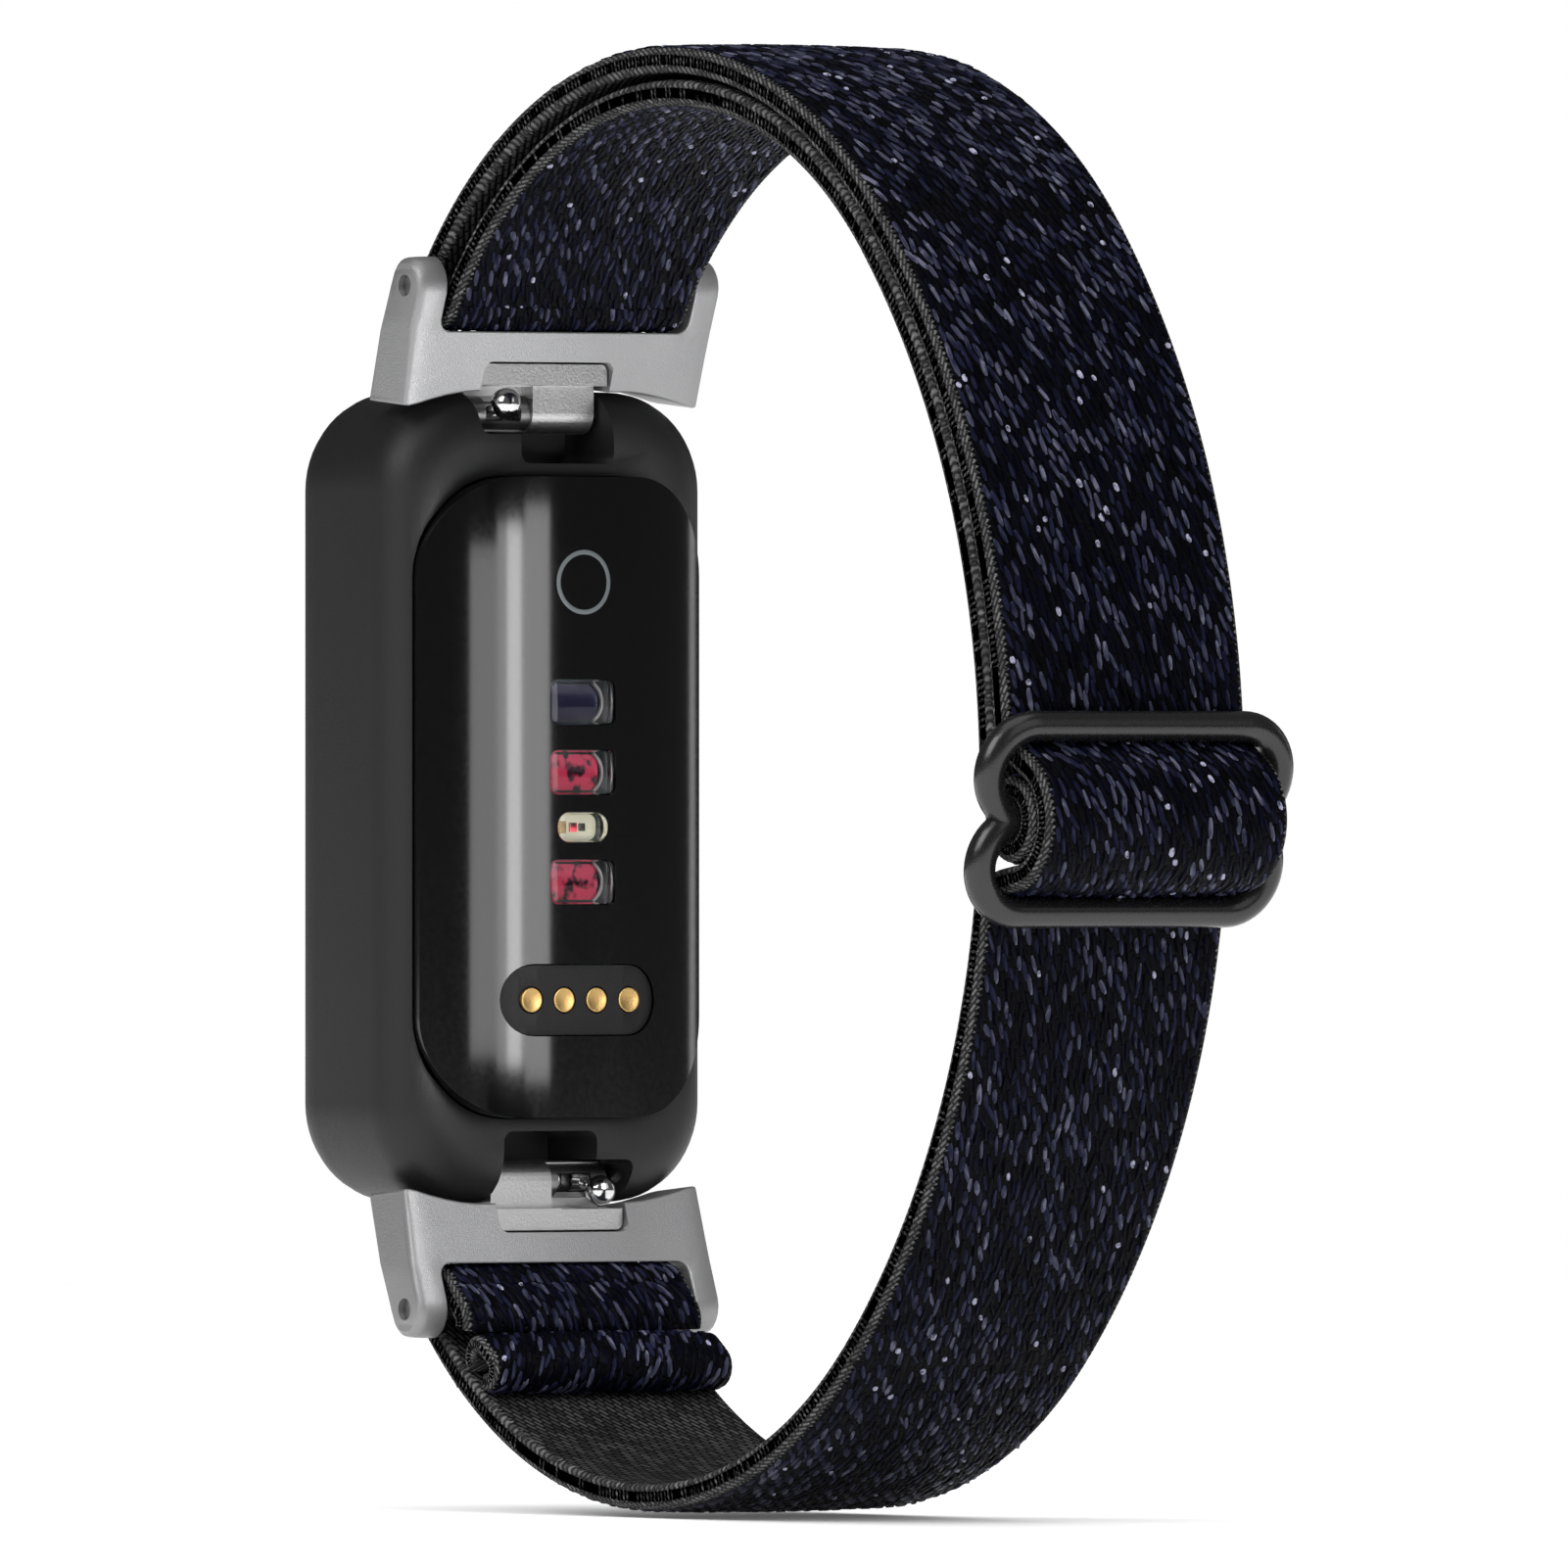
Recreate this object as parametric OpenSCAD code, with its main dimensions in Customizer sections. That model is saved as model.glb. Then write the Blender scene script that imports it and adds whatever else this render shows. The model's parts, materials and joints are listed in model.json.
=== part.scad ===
// Elastic wrist band with a small activity tracker, in millimetres.
// Z runs along the tracker, X from the tracker to the slider, Y along the wrist.
// The origin is the centre of the wrist.

/* [Tracker] */
// Width of the case across the wrist axis
case_w = 18.6; // [15:0.1:24]
// Length of the case
case_h = 39.3; // [36:0.1:48]
// Depth of the case from its back rim to its front corners
case_d = 10; // [9.5:0.1:12.5]
// Radius of the case outline's corners
case_corner_r = 6; // [4:0.1:7]
// Radius of the case's front and back edges
case_edge_r = 2.4; // [1.5:0.1:3]
// Thickness of the case wall
case_wall = 1.2; // [0.9:0.1:1.6]
// Radius of the front glass's dome
front_dome_r = 24; // [20:0.5:40]
// Radius of the back cover's dome
back_dome_r = 16.6; // [15:0.1:24]
// Thickness of the front glass
glass_t = 1.1; // [0.8:0.1:1.4]
// Rim of case left round the back cover, at the sides
back_rim = 1.1; // [0.8:0.1:1.6]
// Length of the back cover
back_h = 31.1; // [29:0.1:31.5]

/* [Sensors] */
// Width of a sensor window
window_w = 3.8; // [3:0.1:4.4]
// Height of a sensor window
window_h = 2.2; // [1.6:0.1:2.4]
// Height of the first window above the case's middle
window_top_z = 4.6; // [3.5:0.1:6]
// Step from the first window to the next
window_step = 3.4; // [3.1:0.1:3.8]
// Step across the light source, between the two lowest windows
window_gap = 5.3; // [5:0.1:6]
// Width of the charging insert
charger_w = 9; // [7:0.1:9.6]
// Height of the charging insert
charger_h = 3.5; // [3:0.1:4]
// Distance of the charging insert below the case's middle
charger_z = 9.8; // [9:0.1:11]
// Radius of a charging pad
pad_r = 0.6; // [0.4:0.05:0.8]
// Distance between charging pads
pad_pitch = 1.88; // [1.7:0.02:2.1]

/* [Lug] */
// Thickness of an ear of the lug, across the strap
ear_t = 1.6; // [1.4:0.1:2.4]
// Height of the strap pin above the end of the case
pin_rise = 5.05; // [4.6:0.05:6]
// Offset of the strap pin from the case's back rim, towards the front
pin_back = 0.3; // [0:0.05:1]
// Radius of the strap pin
pin_r = 0.5; // [0.4:0.05:0.7]
// Radius of the ear round the strap pin
ear_r = 1.45; // [1.3:0.05:1.7]
// Depth of the lug's foot
foot_d = 3.4; // [3:0.1:4]
// Height of the lug's beam
beam_h = 2.6; // [2:0.1:2.8]
// Radius of the sprung bar's tube
tube_r = 0.8; // [0.75:0.05:0.9]
// Radius of the bar's tips
tip_r = 0.4; // [0.3:0.05:0.45]
// Length of a tip inside the case wall
tip_reach = 0.9; // [0.6:0.05:1.2]
// Radius of the release knob
knob_r = 0.75; // [0.6:0.05:0.9]
// Travel of the release knob
release_travel = 1.3; // [1.1:0.05:1.4]

/* [Strap] */
// Width of the strap
strap_w = 13.9; // [12:0.1:17]
// Thickness of one layer of the strap
strap_t = 1.25; // [1:0.05:1.4]
// Distance from the case's back rim to the strap's inner face at the slider
loop_depth = 45.6; // [42:0.1:56]
// Radius of the strap's flat flank
flank_r = 37; // [33:0.5:45]
// Height of the flank's centre
flank_z = 0.7; // [-2:0.1:2]
// Angle at which the flank turns into the upper crown
crown_angle = 43; // [38:1:48]
// Angle at which the flank turns into the lower crown
keel_angle = 46; // [42:1:50]
// Length of the hem, along the strap
hem_l = 3.1; // [2.6:0.1:3.6]
// Thickness of the hem
hem_t = 2.1; // [1.6:0.1:2.4]

/* [Slider] */
// Extra width of the slider over the strap
slider_room = 4.1; // [3.9:0.1:5]
// Diameter of the slider's wire
wire_d = 1.5; // [1.2:0.1:1.7]
// Distance between the slider's bars
bar_pitch = 4.45; // [4.4:0.05:5]
// Angle of the slider's place on the flank
slider_angle = -2.5; // [-6:0.5:6]

/* [Hidden] */
$fn = 48;

running = 0.05;        // clearance of a shaft in its hole
seat = 0.05;           // clearance of a fixed piece in its seat
part_gap = 0.25;       // clearance between the lug and the case
layer_gap = 0.05;      // gap between two layers of strap
eps = 0.02;

// Case
rim_x = -(loop_depth + 0.4) / 2;
front_x = rim_x - case_d;
dome_x = front_x - 0.4;
back_w = case_w - 2 * back_rim;
back_corner_r = case_corner_r - back_rim;
back_rise = back_dome_r - sqrt(pow(back_dome_r, 2) - pow(back_w / 2, 2));
back_apex = rim_x + back_rise;
back_floor = rim_x - 0.7;
pocket_low = case_h / 2 - 3.5;
pocket_floor = rim_x - 4.3;
pocket_left = -2.2;
pocket_right = 3.2;
step_left = -4.4;
step_low = case_h / 2 - 2.1;
cavity_half = pocket_low - case_wall;
cavity_w = case_w - 2 * case_wall;
cavity_front = front_x + case_wall + 0.9;
glass_w = case_w - 3.2;
glass_h = case_h - 3.3;
glass_corner_r = case_corner_r - 1.4;
glass_seat = front_x + 1.9;

// Stack inside the case, from the back to the front
sensor_floor = back_floor;
sensor_board_t = 0.5;
sensor_top = sensor_floor + 0.7;
sensor_pocket = back_apex - 1.15;
battery_t = 2.9;
battery_x = back_floor - 0.3 - battery_t;
main_board_t = 0.7;
main_board_x = battery_x - 0.6 - main_board_t;
display_t = 0.9;
display_x = cavity_front + 0.1;
window_z = [window_top_z, window_top_z - window_step, window_top_z - window_step - window_gap];
light_z = window_z[1] - window_gap / 2;

// Lug and sprung bar, at the upper end
case_end = case_h / 2;
foot_z = case_end + part_gap;
bar_x = rim_x - 2.5;
bar_z = case_end - 1.05;
pin_x = rim_x - pin_back;
pin_z = case_end + pin_rise;
slot_w = strap_w + 0.5;
lug_w = slot_w + 2 * ear_t;
tongue_r = tube_r + 0.2;
tongue_left = step_left + 0.5;
tongue_right = pocket_right - 0.2;
inlay_h = 1.1;
knob_y = step_left + 1.65;
knob_x = rim_x - 0.55;
knob_z = bar_z + 0.45;
stem_r = 0.28;
rod_r = 0.5;
plug_l = 0.5;
spring_wire = 0.12;

// Path of the strap's inner face: a flank arc, then a crown or keel arc that passes the strap pin
flank_x = rim_x + loop_depth - flank_r;
wrap_r = pin_r + running;
function crown_radius(big_r, angle, px, pz, miss) =
    let (ux = cos(angle), uz = sin(angle), qx = px - flank_x - big_r * ux, qz = pz - flank_z - big_r * uz)
    (qx * qx + qz * qz - miss * miss) / (2 * (miss - qx * ux - qz * uz));
outer_r = flank_r + strap_t + layer_gap;
crown_r = crown_radius(flank_r, crown_angle, pin_x, pin_z, strap_t + wrap_r);
crown_x = flank_x + (flank_r - crown_r) * cos(crown_angle);
crown_z = flank_z + (flank_r - crown_r) * sin(crown_angle);
cover_r = crown_radius(outer_r, crown_angle, pin_x, pin_z, -wrap_r);
cover_x = flank_x + (outer_r - cover_r) * cos(crown_angle);
cover_z = flank_z + (outer_r - cover_r) * sin(crown_angle);
keel_r = crown_radius(flank_r, -keel_angle, pin_x, -pin_z, -wrap_r);
keel_x = flank_x + (flank_r - keel_r) * cos(keel_angle);
keel_z = flank_z - (flank_r - keel_r) * sin(keel_angle);
crown_end = atan2(pin_z - crown_z, pin_x - crown_x);
cover_end = atan2(pin_z - cover_z, pin_x - cover_x);
keel_end = atan2(-pin_z - keel_z, pin_x - keel_x);
fold_span = 6;
split_gap = 0.15;
tail_span = 6.4;
seam_gap = 0.3;
hem_path = keel_r - hem_t / 2 - layer_gap;
hem_angle = keel_end + tail_span + (hem_l / 2 + seam_gap) / hem_path * 180 / PI;

// Slider
upper_bar_r = outer_r + strap_t + running + wire_d / 2;
lower_bar_r = flank_r + strap_t + running + wire_d / 2;
middle_bar_r = (upper_bar_r + lower_bar_r) / 2;
slider_tilt = atan((upper_bar_r - lower_bar_r) / (2 * bar_pitch));
slider_turn = slider_angle - slider_tilt;
ring_r = bar_pitch / 2;
slider_w = strap_w + slider_room;
bar_half = slider_w / 2 - wire_d / 2 - ring_r;
loop_in = wire_d / 2 + running;
arch_in = loop_in + strap_t + 2 * layer_gap;
arch_out = arch_in + strap_t;
arch_angle = asin((loop_in + arch_out) / bar_pitch);
slider_span = 7.1;
weave_w = 2 * bar_half;

// ---- helpers ----

// Rectangle with round corners, centred
module round_rect(w, h, r) {
    square([w - 2 * r, h], center = true);
    square([w, h - 2 * r], center = true);
    for (sx = [-1, 1], sy = [-1, 1])
        translate([sx * (w / 2 - r), sy * (h / 2 - r)]) circle(r);
}

// Outline drawn across Y and Z, raised along X from x0 to x1
module raise_x(x0, x1) {
    translate([x0, 0, 0]) rotate([90, 0, 90]) linear_extrude(x1 - x0) children();
}

// Outline drawn across X and Z, of the given width along Y, centred
module raise_y(w) {
    rotate([90, 0, 0]) linear_extrude(w, center = true) children();
}

// Round bar along Y from y0 to y1
module bar_y(x, z, r, y0, y1) {
    translate([x, y1, z]) rotate([90, 0, 0]) cylinder(h = y1 - y0, r = r);
}

// Block between two corners
module block(low, high) {
    translate(low) cube([high[0] - low[0], high[1] - low[1], high[2] - low[2]]);
}

// Arc of flat band in the XZ plane, with its inner face at radius r
module band_arc(cx, cz, r, a0, a1, t = strap_t, w = strap_w) {
    translate([cx, 0, cz]) rotate([90, 0, 0]) rotate([0, 0, a0])
        rotate_extrude(angle = a1 - a0, $fn = 96) translate([r, -w / 2]) square([t, w]);
}

// Points along an arc of strap's back face, each with the direction of its woven face
function arc_run(cx, cz, r, a0, a1, side, steps) =
    [for (i = [0:steps]) let (a = a0 + (a1 - a0) * i / steps)
        [cx + r * cos(a), cz + r * sin(a), side * cos(a), side * sin(a)]];

// Strip of strap whose back face follows a run of points
module strip(run, w) {
    raise_y(w) polygon(concat(
        [for (p = run) [p[0], p[1]]],
        [for (i = [len(run) - 1:-1:0]) [run[i][0] + strap_t * run[i][2], run[i][1] + strap_t * run[i][3]]]
    ));
}

// Moves the children to the slider's middle bar: X outwards, Z along the slider
module at_slider() {
    translate([flank_x + middle_bar_r * cos(slider_angle), 0, flank_z + middle_bar_r * sin(slider_angle)])
        rotate([0, -slider_turn, 0]) children();
}

// Turns an upper lug piece into the lower lug's
module lower_end() {
    rotate([180, 0, 0]) children();
}

// Solid of the case's outside, or of its inside when shrunk by inset
module case_form(inset = 0) {
    w = case_w - 2 * inset;
    h = case_h - 2 * inset;
    r = case_edge_r - inset / 2;
    depth = case_d + 0.4 - 2 * inset;
    mid = (dome_x + rim_x) / 2;
    intersection() {
        raise_x(dome_x - 1, rim_x + 1) round_rect(w, h, case_corner_r - inset);
        translate([mid, 0, -h]) linear_extrude(2 * h) round_rect(depth, w, r);
        translate([mid, 0, 0]) raise_y(2 * w) round_rect(depth, h, r);
        translate([dome_x + inset + front_dome_r, 0, -h]) cylinder(h = 2 * h, r = front_dome_r, $fn = 128);
    }
}

// ---- tracker ----

module end_pocket() {
    block([pocket_floor, pocket_left, pocket_low], [rim_x + 1, pocket_right, case_end + 1]);
    block([pocket_floor, step_left, step_low], [rim_x + 1, pocket_left + eps, case_end + 1]);
    bar_y(bar_x, bar_z, tip_r + running, step_left - tip_reach - 0.2, step_left + eps);
    bar_y(bar_x, bar_z, tip_r + running, pocket_right - eps, pocket_right + tip_reach + 0.2);
}

module case_shell() {
    color("#2d2d2f") difference() {
        case_form();
        raise_x(cavity_front, rim_x + 1) round_rect(cavity_w, 2 * cavity_half, case_corner_r - case_wall);
        raise_x(dome_x - 1, glass_seat) round_rect(glass_w, glass_h, glass_corner_r);
        raise_x(glass_seat - 1, cavity_front + 1)
            round_rect(glass_w - 1.6, 2 * cavity_half, glass_corner_r - 0.8);
        raise_x(back_floor, rim_x + 1) round_rect(back_w, back_h, back_corner_r);
        end_pocket();
        lower_end() end_pocket();
    }
}

module front_glass() {
    color("#0a0a0c") intersection() {
        raise_x(dome_x - 1, glass_seat - 0.2)
            round_rect(glass_w - 2 * seat, glass_h - 2 * seat, glass_corner_r - seat);
        difference() {
            translate([dome_x + front_dome_r, 0, -case_h])
                cylinder(h = 2 * case_h, r = front_dome_r, $fn = 128);
            translate([dome_x + front_dome_r, 0, -case_h])
                cylinder(h = 2 * case_h, r = front_dome_r - glass_t, $fn = 128);
        }
    }
}

module front_gasket() {
    color("#3a3a3a") raise_x(glass_seat - 0.18, glass_seat - 0.02) difference() {
        round_rect(glass_w - 0.1, glass_h - 0.1, glass_corner_r - 0.05);
        round_rect(glass_w - 1.5, glass_h - 1.5, glass_corner_r - 0.75);
    }
}

module display_panel() {
    color("#101018") raise_x(display_x, display_x + display_t)
        round_rect(glass_w - 2, 2 * cavity_half - 1, glass_corner_r - 1.6);
}

module display_flex() {
    flex_z = cavity_half - 0.9;
    color("#b5742a") {
        block([main_board_x + main_board_t, -2.5, flex_z - 2], [main_board_x + main_board_t + 0.15, 2.5, flex_z + 0.6]);
        block([display_x + display_t, -2.5, flex_z + 0.45], [main_board_x + main_board_t + 0.15, 2.5, flex_z + 0.6]);
        block([display_x + display_t, -2.5, flex_z - 2], [display_x + display_t + 0.15, 2.5, flex_z + 0.6]);
    }
}

// Tray between the battery and the display
module inner_frame() {
    tray_w = cavity_w - 0.4;
    tray_h = 2 * cavity_half - 3.6;
    color("#4a4a4c") difference() {
        raise_x(main_board_x - 0.7, back_floor - 0.4) round_rect(tray_w, tray_h, 3.4);
        raise_x(main_board_x, back_floor) round_rect(tray_w - 1.4, tray_h - 1.4, 2.7);
        block([main_board_x, -2.8, tray_h / 2 - 1.2], [back_floor, 2.8, tray_h / 2 + 1]);
        for (sy = [-1, 1], sz = [-1, 1])
            translate([main_board_x - 1, sy * (tray_w / 2 - 2.3), sz * (tray_h / 2 - 2.3)])
                rotate([0, 90, 0]) cylinder(h = 2, r = 0.45);
    }
}

module main_board() {
    board_w = cavity_w - 2.2;
    board_h = 2 * cavity_half - 5.4;
    color("#1d5a34") difference() {
        raise_x(main_board_x + seat, main_board_x + main_board_t) round_rect(board_w, board_h, 2.2);
        for (sy = [-1, 1], sz = [-1, 1])
            translate([main_board_x - 1, sy * (cavity_w / 2 - 2.5), sz * (cavity_half - 4.1)])
                rotate([0, 90, 0]) cylinder(h = 3, r = 0.55);
    }
}

module board_chips() {
    chip_x = main_board_x + main_board_t;
    color("#202024") {
        block([chip_x, -2.2, -1.6], [chip_x + 0.5, 2.2, 2.8]);
        block([chip_x, 2.9, -3.4], [chip_x + 0.4, 4.9, -0.6]);
        block([chip_x, -5.2, 4.2], [chip_x + 0.45, -2.6, 6.8]);
        block([chip_x, 0.6, 4.4], [chip_x + 0.4, 3.8, 6.4]);
    }
}

module battery_cell() {
    color("#8a9096") raise_x(battery_x, battery_x + battery_t) round_rect(cavity_w - 4, 17, 1);
}

module vibration_motor() {
    motor_z = -cavity_half + 3.9;
    color("#b9bcc0") bar_y(battery_x + 1.5, motor_z, 1.4, -3.5, 3.5);
}

module frame_screws() {
    tray_w = cavity_w - 0.4;
    tray_h = 2 * cavity_half - 3.6;
    color("#9a9da2") for (sy = [-1, 1], sz = [-1, 1])
        translate([main_board_x - 0.7, sy * (tray_w / 2 - 2.3), sz * (tray_h / 2 - 2.3)])
            rotate([0, 90, 0]) {
                cylinder(h = main_board_t + 0.75, r = 0.4);
                translate([0, 0, main_board_t + 0.72]) cylinder(h = 0.35, r = 0.75);
            }
}

module sensor_board() {
    color("#14381f") raise_x(sensor_floor + 0.1, sensor_floor + 0.1 + sensor_board_t)
        round_rect(5.4, 22, 1.2);
}

// Package under one sensor window
module sensor_die(z) {
    raise_x(sensor_top - 0.08, sensor_pocket - 0.1) translate([0, z])
        square([window_w - 1, window_h - 0.6], center = true);
}

module red_sensors() {
    color("#a82a44") {
        sensor_die(window_z[1]);
        sensor_die(window_z[2]);
    }
}

module oxygen_sensor() {
    color("#3a3850") sensor_die(window_z[0]);
}

module light_source() {
    color("#d8d6c8") raise_x(sensor_top - 0.08, sensor_pocket - 0.1) translate([0, light_z])
        round_rect(2.6, 1.1, 0.4);
}

// Solid of the back cover's outside
module back_form() {
    intersection() {
        raise_x(back_floor, back_apex + 1) round_rect(back_w - 2 * seat, back_h - 2 * seat, back_corner_r);
        translate([back_apex - back_dome_r, 0, -case_h])
            cylinder(h = 2 * case_h, r = back_dome_r, $fn = 128);
    }
}

module sensor_windows() {
    color([0.3, 0.3, 0.34, 0.5]) intersection() {
        for (z = window_z)
            raise_x(sensor_pocket + seat, back_apex + 1) translate([0, z])
                round_rect(window_w - 2 * seat, window_h - 2 * seat, 0.4);
        back_form();
    }
}

module light_window() {
    color([0.9, 0.9, 0.85, 0.6]) intersection() {
        raise_x(sensor_pocket + seat, back_apex + 1) translate([0, light_z])
            round_rect(3 - 2 * seat, 1.5 - 2 * seat, 0.65);
        back_form();
    }
}

module back_cover() {
    color("#08080a") difference() {
        back_form();
        raise_x(back_floor - 1, sensor_pocket) round_rect(6, 22.6, 1.5);
        for (z = window_z)
            raise_x(back_floor, back_apex + 1) translate([0, z]) round_rect(window_w, window_h, 0.45);
        raise_x(back_floor, back_apex + 1) translate([0, light_z]) round_rect(3, 1.5, 0.7);
        raise_x(back_floor, back_apex + 1) translate([0, -charger_z])
            round_rect(charger_w, charger_h, charger_h / 2 - eps);
    }
}

module back_gasket() {
    color("#3a3a3a") raise_x(back_floor - 0.2, back_floor - 0.02) difference() {
        round_rect(cavity_w - 0.1, 2 * cavity_half - 0.1, case_corner_r - case_wall - 0.05);
        round_rect(cavity_w - 1.7, 2 * cavity_half - 1.7, case_corner_r - case_wall - 0.85);
    }
}

module pad_holes(r) {
    for (i = [-1.5:1:1.5])
        translate([sensor_top, i * pad_pitch, -charger_z]) rotate([0, 90, 0])
            cylinder(h = back_apex - sensor_top, r = r);
}

module charging_insert() {
    color("#202022") difference() {
        raise_x(sensor_top, back_apex - 0.35) translate([0, -charger_z])
            round_rect(charger_w - 2 * seat, charger_h - 2 * seat, charger_h / 2 - seat - eps);
        translate([back_apex - 0.15 - back_dome_r, 0, -case_h]) difference() {
            cylinder(h = 2 * case_h, r = 2 * back_dome_r, $fn = 96);
            translate([0, 0, -1]) cylinder(h = 2 * case_h + 2, r = back_dome_r, $fn = 128);
        }
        pad_holes(pad_r + 0.02);
    }
}

module charging_pads() {
    color("#c9a04d") for (i = [-1.5:1:1.5])
        translate([sensor_top + eps, i * pad_pitch, -charger_z]) rotate([0, 90, 0])
            cylinder(h = back_apex - 0.45 - sensor_top, r = pad_r);
}

module charging_magnets() {
    color("#c4c6ca") for (sy = [-1, 1])
        translate([battery_x + 0.6, sy * (cavity_w / 2 - 2.8), -charger_z - 0.8]) rotate([0, 90, 0])
            cylinder(h = 1.9, r = 1.2);
}

// ---- lug, drawn at the upper end ----

module lug() {
    foot_front = rim_x - 0.6 - foot_d;
    foot_back = rim_x - 0.6;
    color("#a9a9ab") difference() {
        raise_y(lug_w) {
            polygon([
                [foot_front, foot_z],
                [foot_back, foot_z],
                [pin_x + ear_r * 0.96, pin_z - ear_r * 0.28],
                [pin_x - ear_r * 0.95, pin_z + ear_r * 0.31]
            ]);
            translate([pin_x, pin_z]) circle(ear_r);
        }
        block([foot_front - 2, -slot_w / 2, foot_z + beam_h], [rim_x + 4, slot_w / 2, pin_z + 4]);
        bar_y(pin_x, pin_z, pin_r + 0.02, -lug_w, lug_w);
        block([foot_front + 0.5, tongue_left - 0.25, foot_z - 1], [rim_x + 2, tongue_right + 0.25, foot_z + inlay_h]);
    }
}

module tongue() {
    color("#c4c4c6") difference() {
        union() {
            block(
                [rim_x - foot_d + 0.05, tongue_left - 0.2, foot_z + 0.02],
                [rim_x - 0.65, tongue_right + 0.2, foot_z + inlay_h - seat]
            );
            block([bar_x - tongue_r, tongue_left, bar_z], [bar_x + tongue_r, tongue_right, foot_z + 0.4]);
            bar_y(bar_x, bar_z, tongue_r, tongue_left, tongue_right);
        }
        bar_y(bar_x, bar_z, tube_r + 0.02, tongue_left - 1, tongue_right + 1);
        block(
            [bar_x, knob_y - knob_r - 0.5, bar_z - 0.9],
            [rim_x, knob_y + knob_r + release_travel + 0.15, foot_z - 0.02]
        );
        block(
            [bar_x + 0.8, knob_y - knob_r - 0.5, foot_z - 0.1],
            [rim_x, knob_y + knob_r + release_travel + 0.15, knob_z + knob_r + 0.15]
        );
    }
}

module strap_pin() {
    color("#8a8a8c") bar_y(pin_x, pin_z, pin_r, -lug_w / 2 + 0.3, lug_w / 2 - 0.3);
}

module bar_tube() {
    color("#b4b4b6") difference() {
        bar_y(bar_x, bar_z, tube_r, tongue_left, tongue_right);
        bar_y(bar_x, bar_z, rod_r + running, tongue_left - 1, tongue_right + 1);
        block(
            [bar_x, knob_y - stem_r - 0.1, bar_z - stem_r - 0.1],
            [bar_x + 2, knob_y + stem_r + release_travel + 0.1, bar_z + 0.8]
        );
    }
}

module fixed_tip() {
    color("#c4c4c6") {
        bar_y(bar_x, bar_z, tip_r, pocket_right - 0.9, pocket_right + tip_reach);
        bar_y(bar_x, bar_z, rod_r + running - 0.01, tongue_right - plug_l, tongue_right);
    }
}

// Coil as a row of closed rings
module bar_spring() {
    start = knob_y + stem_r + 0.75;
    end = tongue_right - plug_l - 0.1;
    turns = 6;
    color("#9a9a9c") for (i = [0:turns - 1])
        translate([bar_x, start + (end - start) * (i + 0.5) / turns, bar_z]) rotate([90, 0, 0])
            rotate_extrude($fn = 24) translate([rod_r - spring_wire - 0.03, 0]) circle(spring_wire, $fn = 16);
}

module release() {
    color("#d6d6d8") {
        bar_y(bar_x, bar_z, tip_r, step_left - tip_reach, knob_y);
        bar_y(bar_x, bar_z, rod_r, tongue_left + 0.15, knob_y + stem_r + 0.35);
        translate([bar_x, knob_y, bar_z]) rotate([0, 90 - atan((knob_z - bar_z) / (knob_x - bar_x)), 0])
            cylinder(h = norm([knob_x - bar_x, knob_z - bar_z]), r = stem_r);
        translate([knob_x, knob_y, knob_z]) sphere(knob_r, $fn = 32);
    }
}

// ---- strap ----

module upper_fold() {
    color("#0b0d1e") strip(concat(
        arc_run(crown_x, crown_z, crown_r + strap_t, crown_end - fold_span, crown_end, -1, 3),
        arc_run(pin_x, pin_z, wrap_r, crown_end + 180, cover_end, 1, 18),
        arc_run(cover_x, cover_z, cover_r, cover_end, cover_end - fold_span, 1, 3)
    ), strap_w);
}

module lower_fold() {
    color("#0b0d1e") strip(concat(
        arc_run(keel_x, keel_z, keel_r, keel_end + fold_span, keel_end, 1, 3),
        arc_run(pin_x, -pin_z, wrap_r, keel_end, keel_end - 180, 1, 18),
        arc_run(keel_x, keel_z, keel_r - 2 * wrap_r, keel_end, keel_end + tail_span, -1, 3)
    ), strap_w);
}

module crown_outer() {
    color("#0b0d1e") band_arc(cover_x, cover_z, cover_r, crown_angle, cover_end - fold_span - split_gap);
}

module crown_inner() {
    color("#0b0d1e") band_arc(crown_x, crown_z, crown_r, crown_angle, crown_end - fold_span - split_gap);
}

module keel() {
    color("#0b0d1e") band_arc(keel_x, keel_z, keel_r, keel_end + fold_span + split_gap, -keel_angle);
}

// Rolled end of the strap, sewn flat against its inner face
module rolled_hem() {
    color("#0b0d1e")
        translate([keel_x + hem_path * cos(hem_angle), 0, keel_z + hem_path * sin(hem_angle)])
            rotate([0, -hem_angle, 0]) raise_y(strap_w) round_rect(hem_t, hem_l, hem_t / 2 - eps);
}

module flank_outer() {
    color("#0b0d1e") band_arc(flank_x, flank_z, outer_r, slider_angle + slider_span + split_gap, crown_angle);
}

module flank_inner() {
    color("#0b0d1e") band_arc(flank_x, flank_z, flank_r, slider_angle + slider_span + split_gap, crown_angle);
}

module flank_lower() {
    color("#0b0d1e") band_arc(flank_x, flank_z, flank_r, -keel_angle, slider_angle - slider_span - split_gap);
}

// ---- slider ----

module slider_frame() {
    color("#1c1c1e") at_slider() {
        for (k = [-1, 0, 1])
            bar_y(0, k * bar_pitch, wire_d / 2, -bar_half, bar_half);
        for (sy = [-1, 1], sz = [-1, 1])
            translate([0, sy * bar_half, sz * ring_r]) rotate([0, 90, 0]) rotate([0, 0, sy * 90 - 90])
                rotate_extrude(angle = 180, $fn = 64) translate([ring_r, 0]) circle(wire_d / 2, $fn = 32);
    }
}

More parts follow.
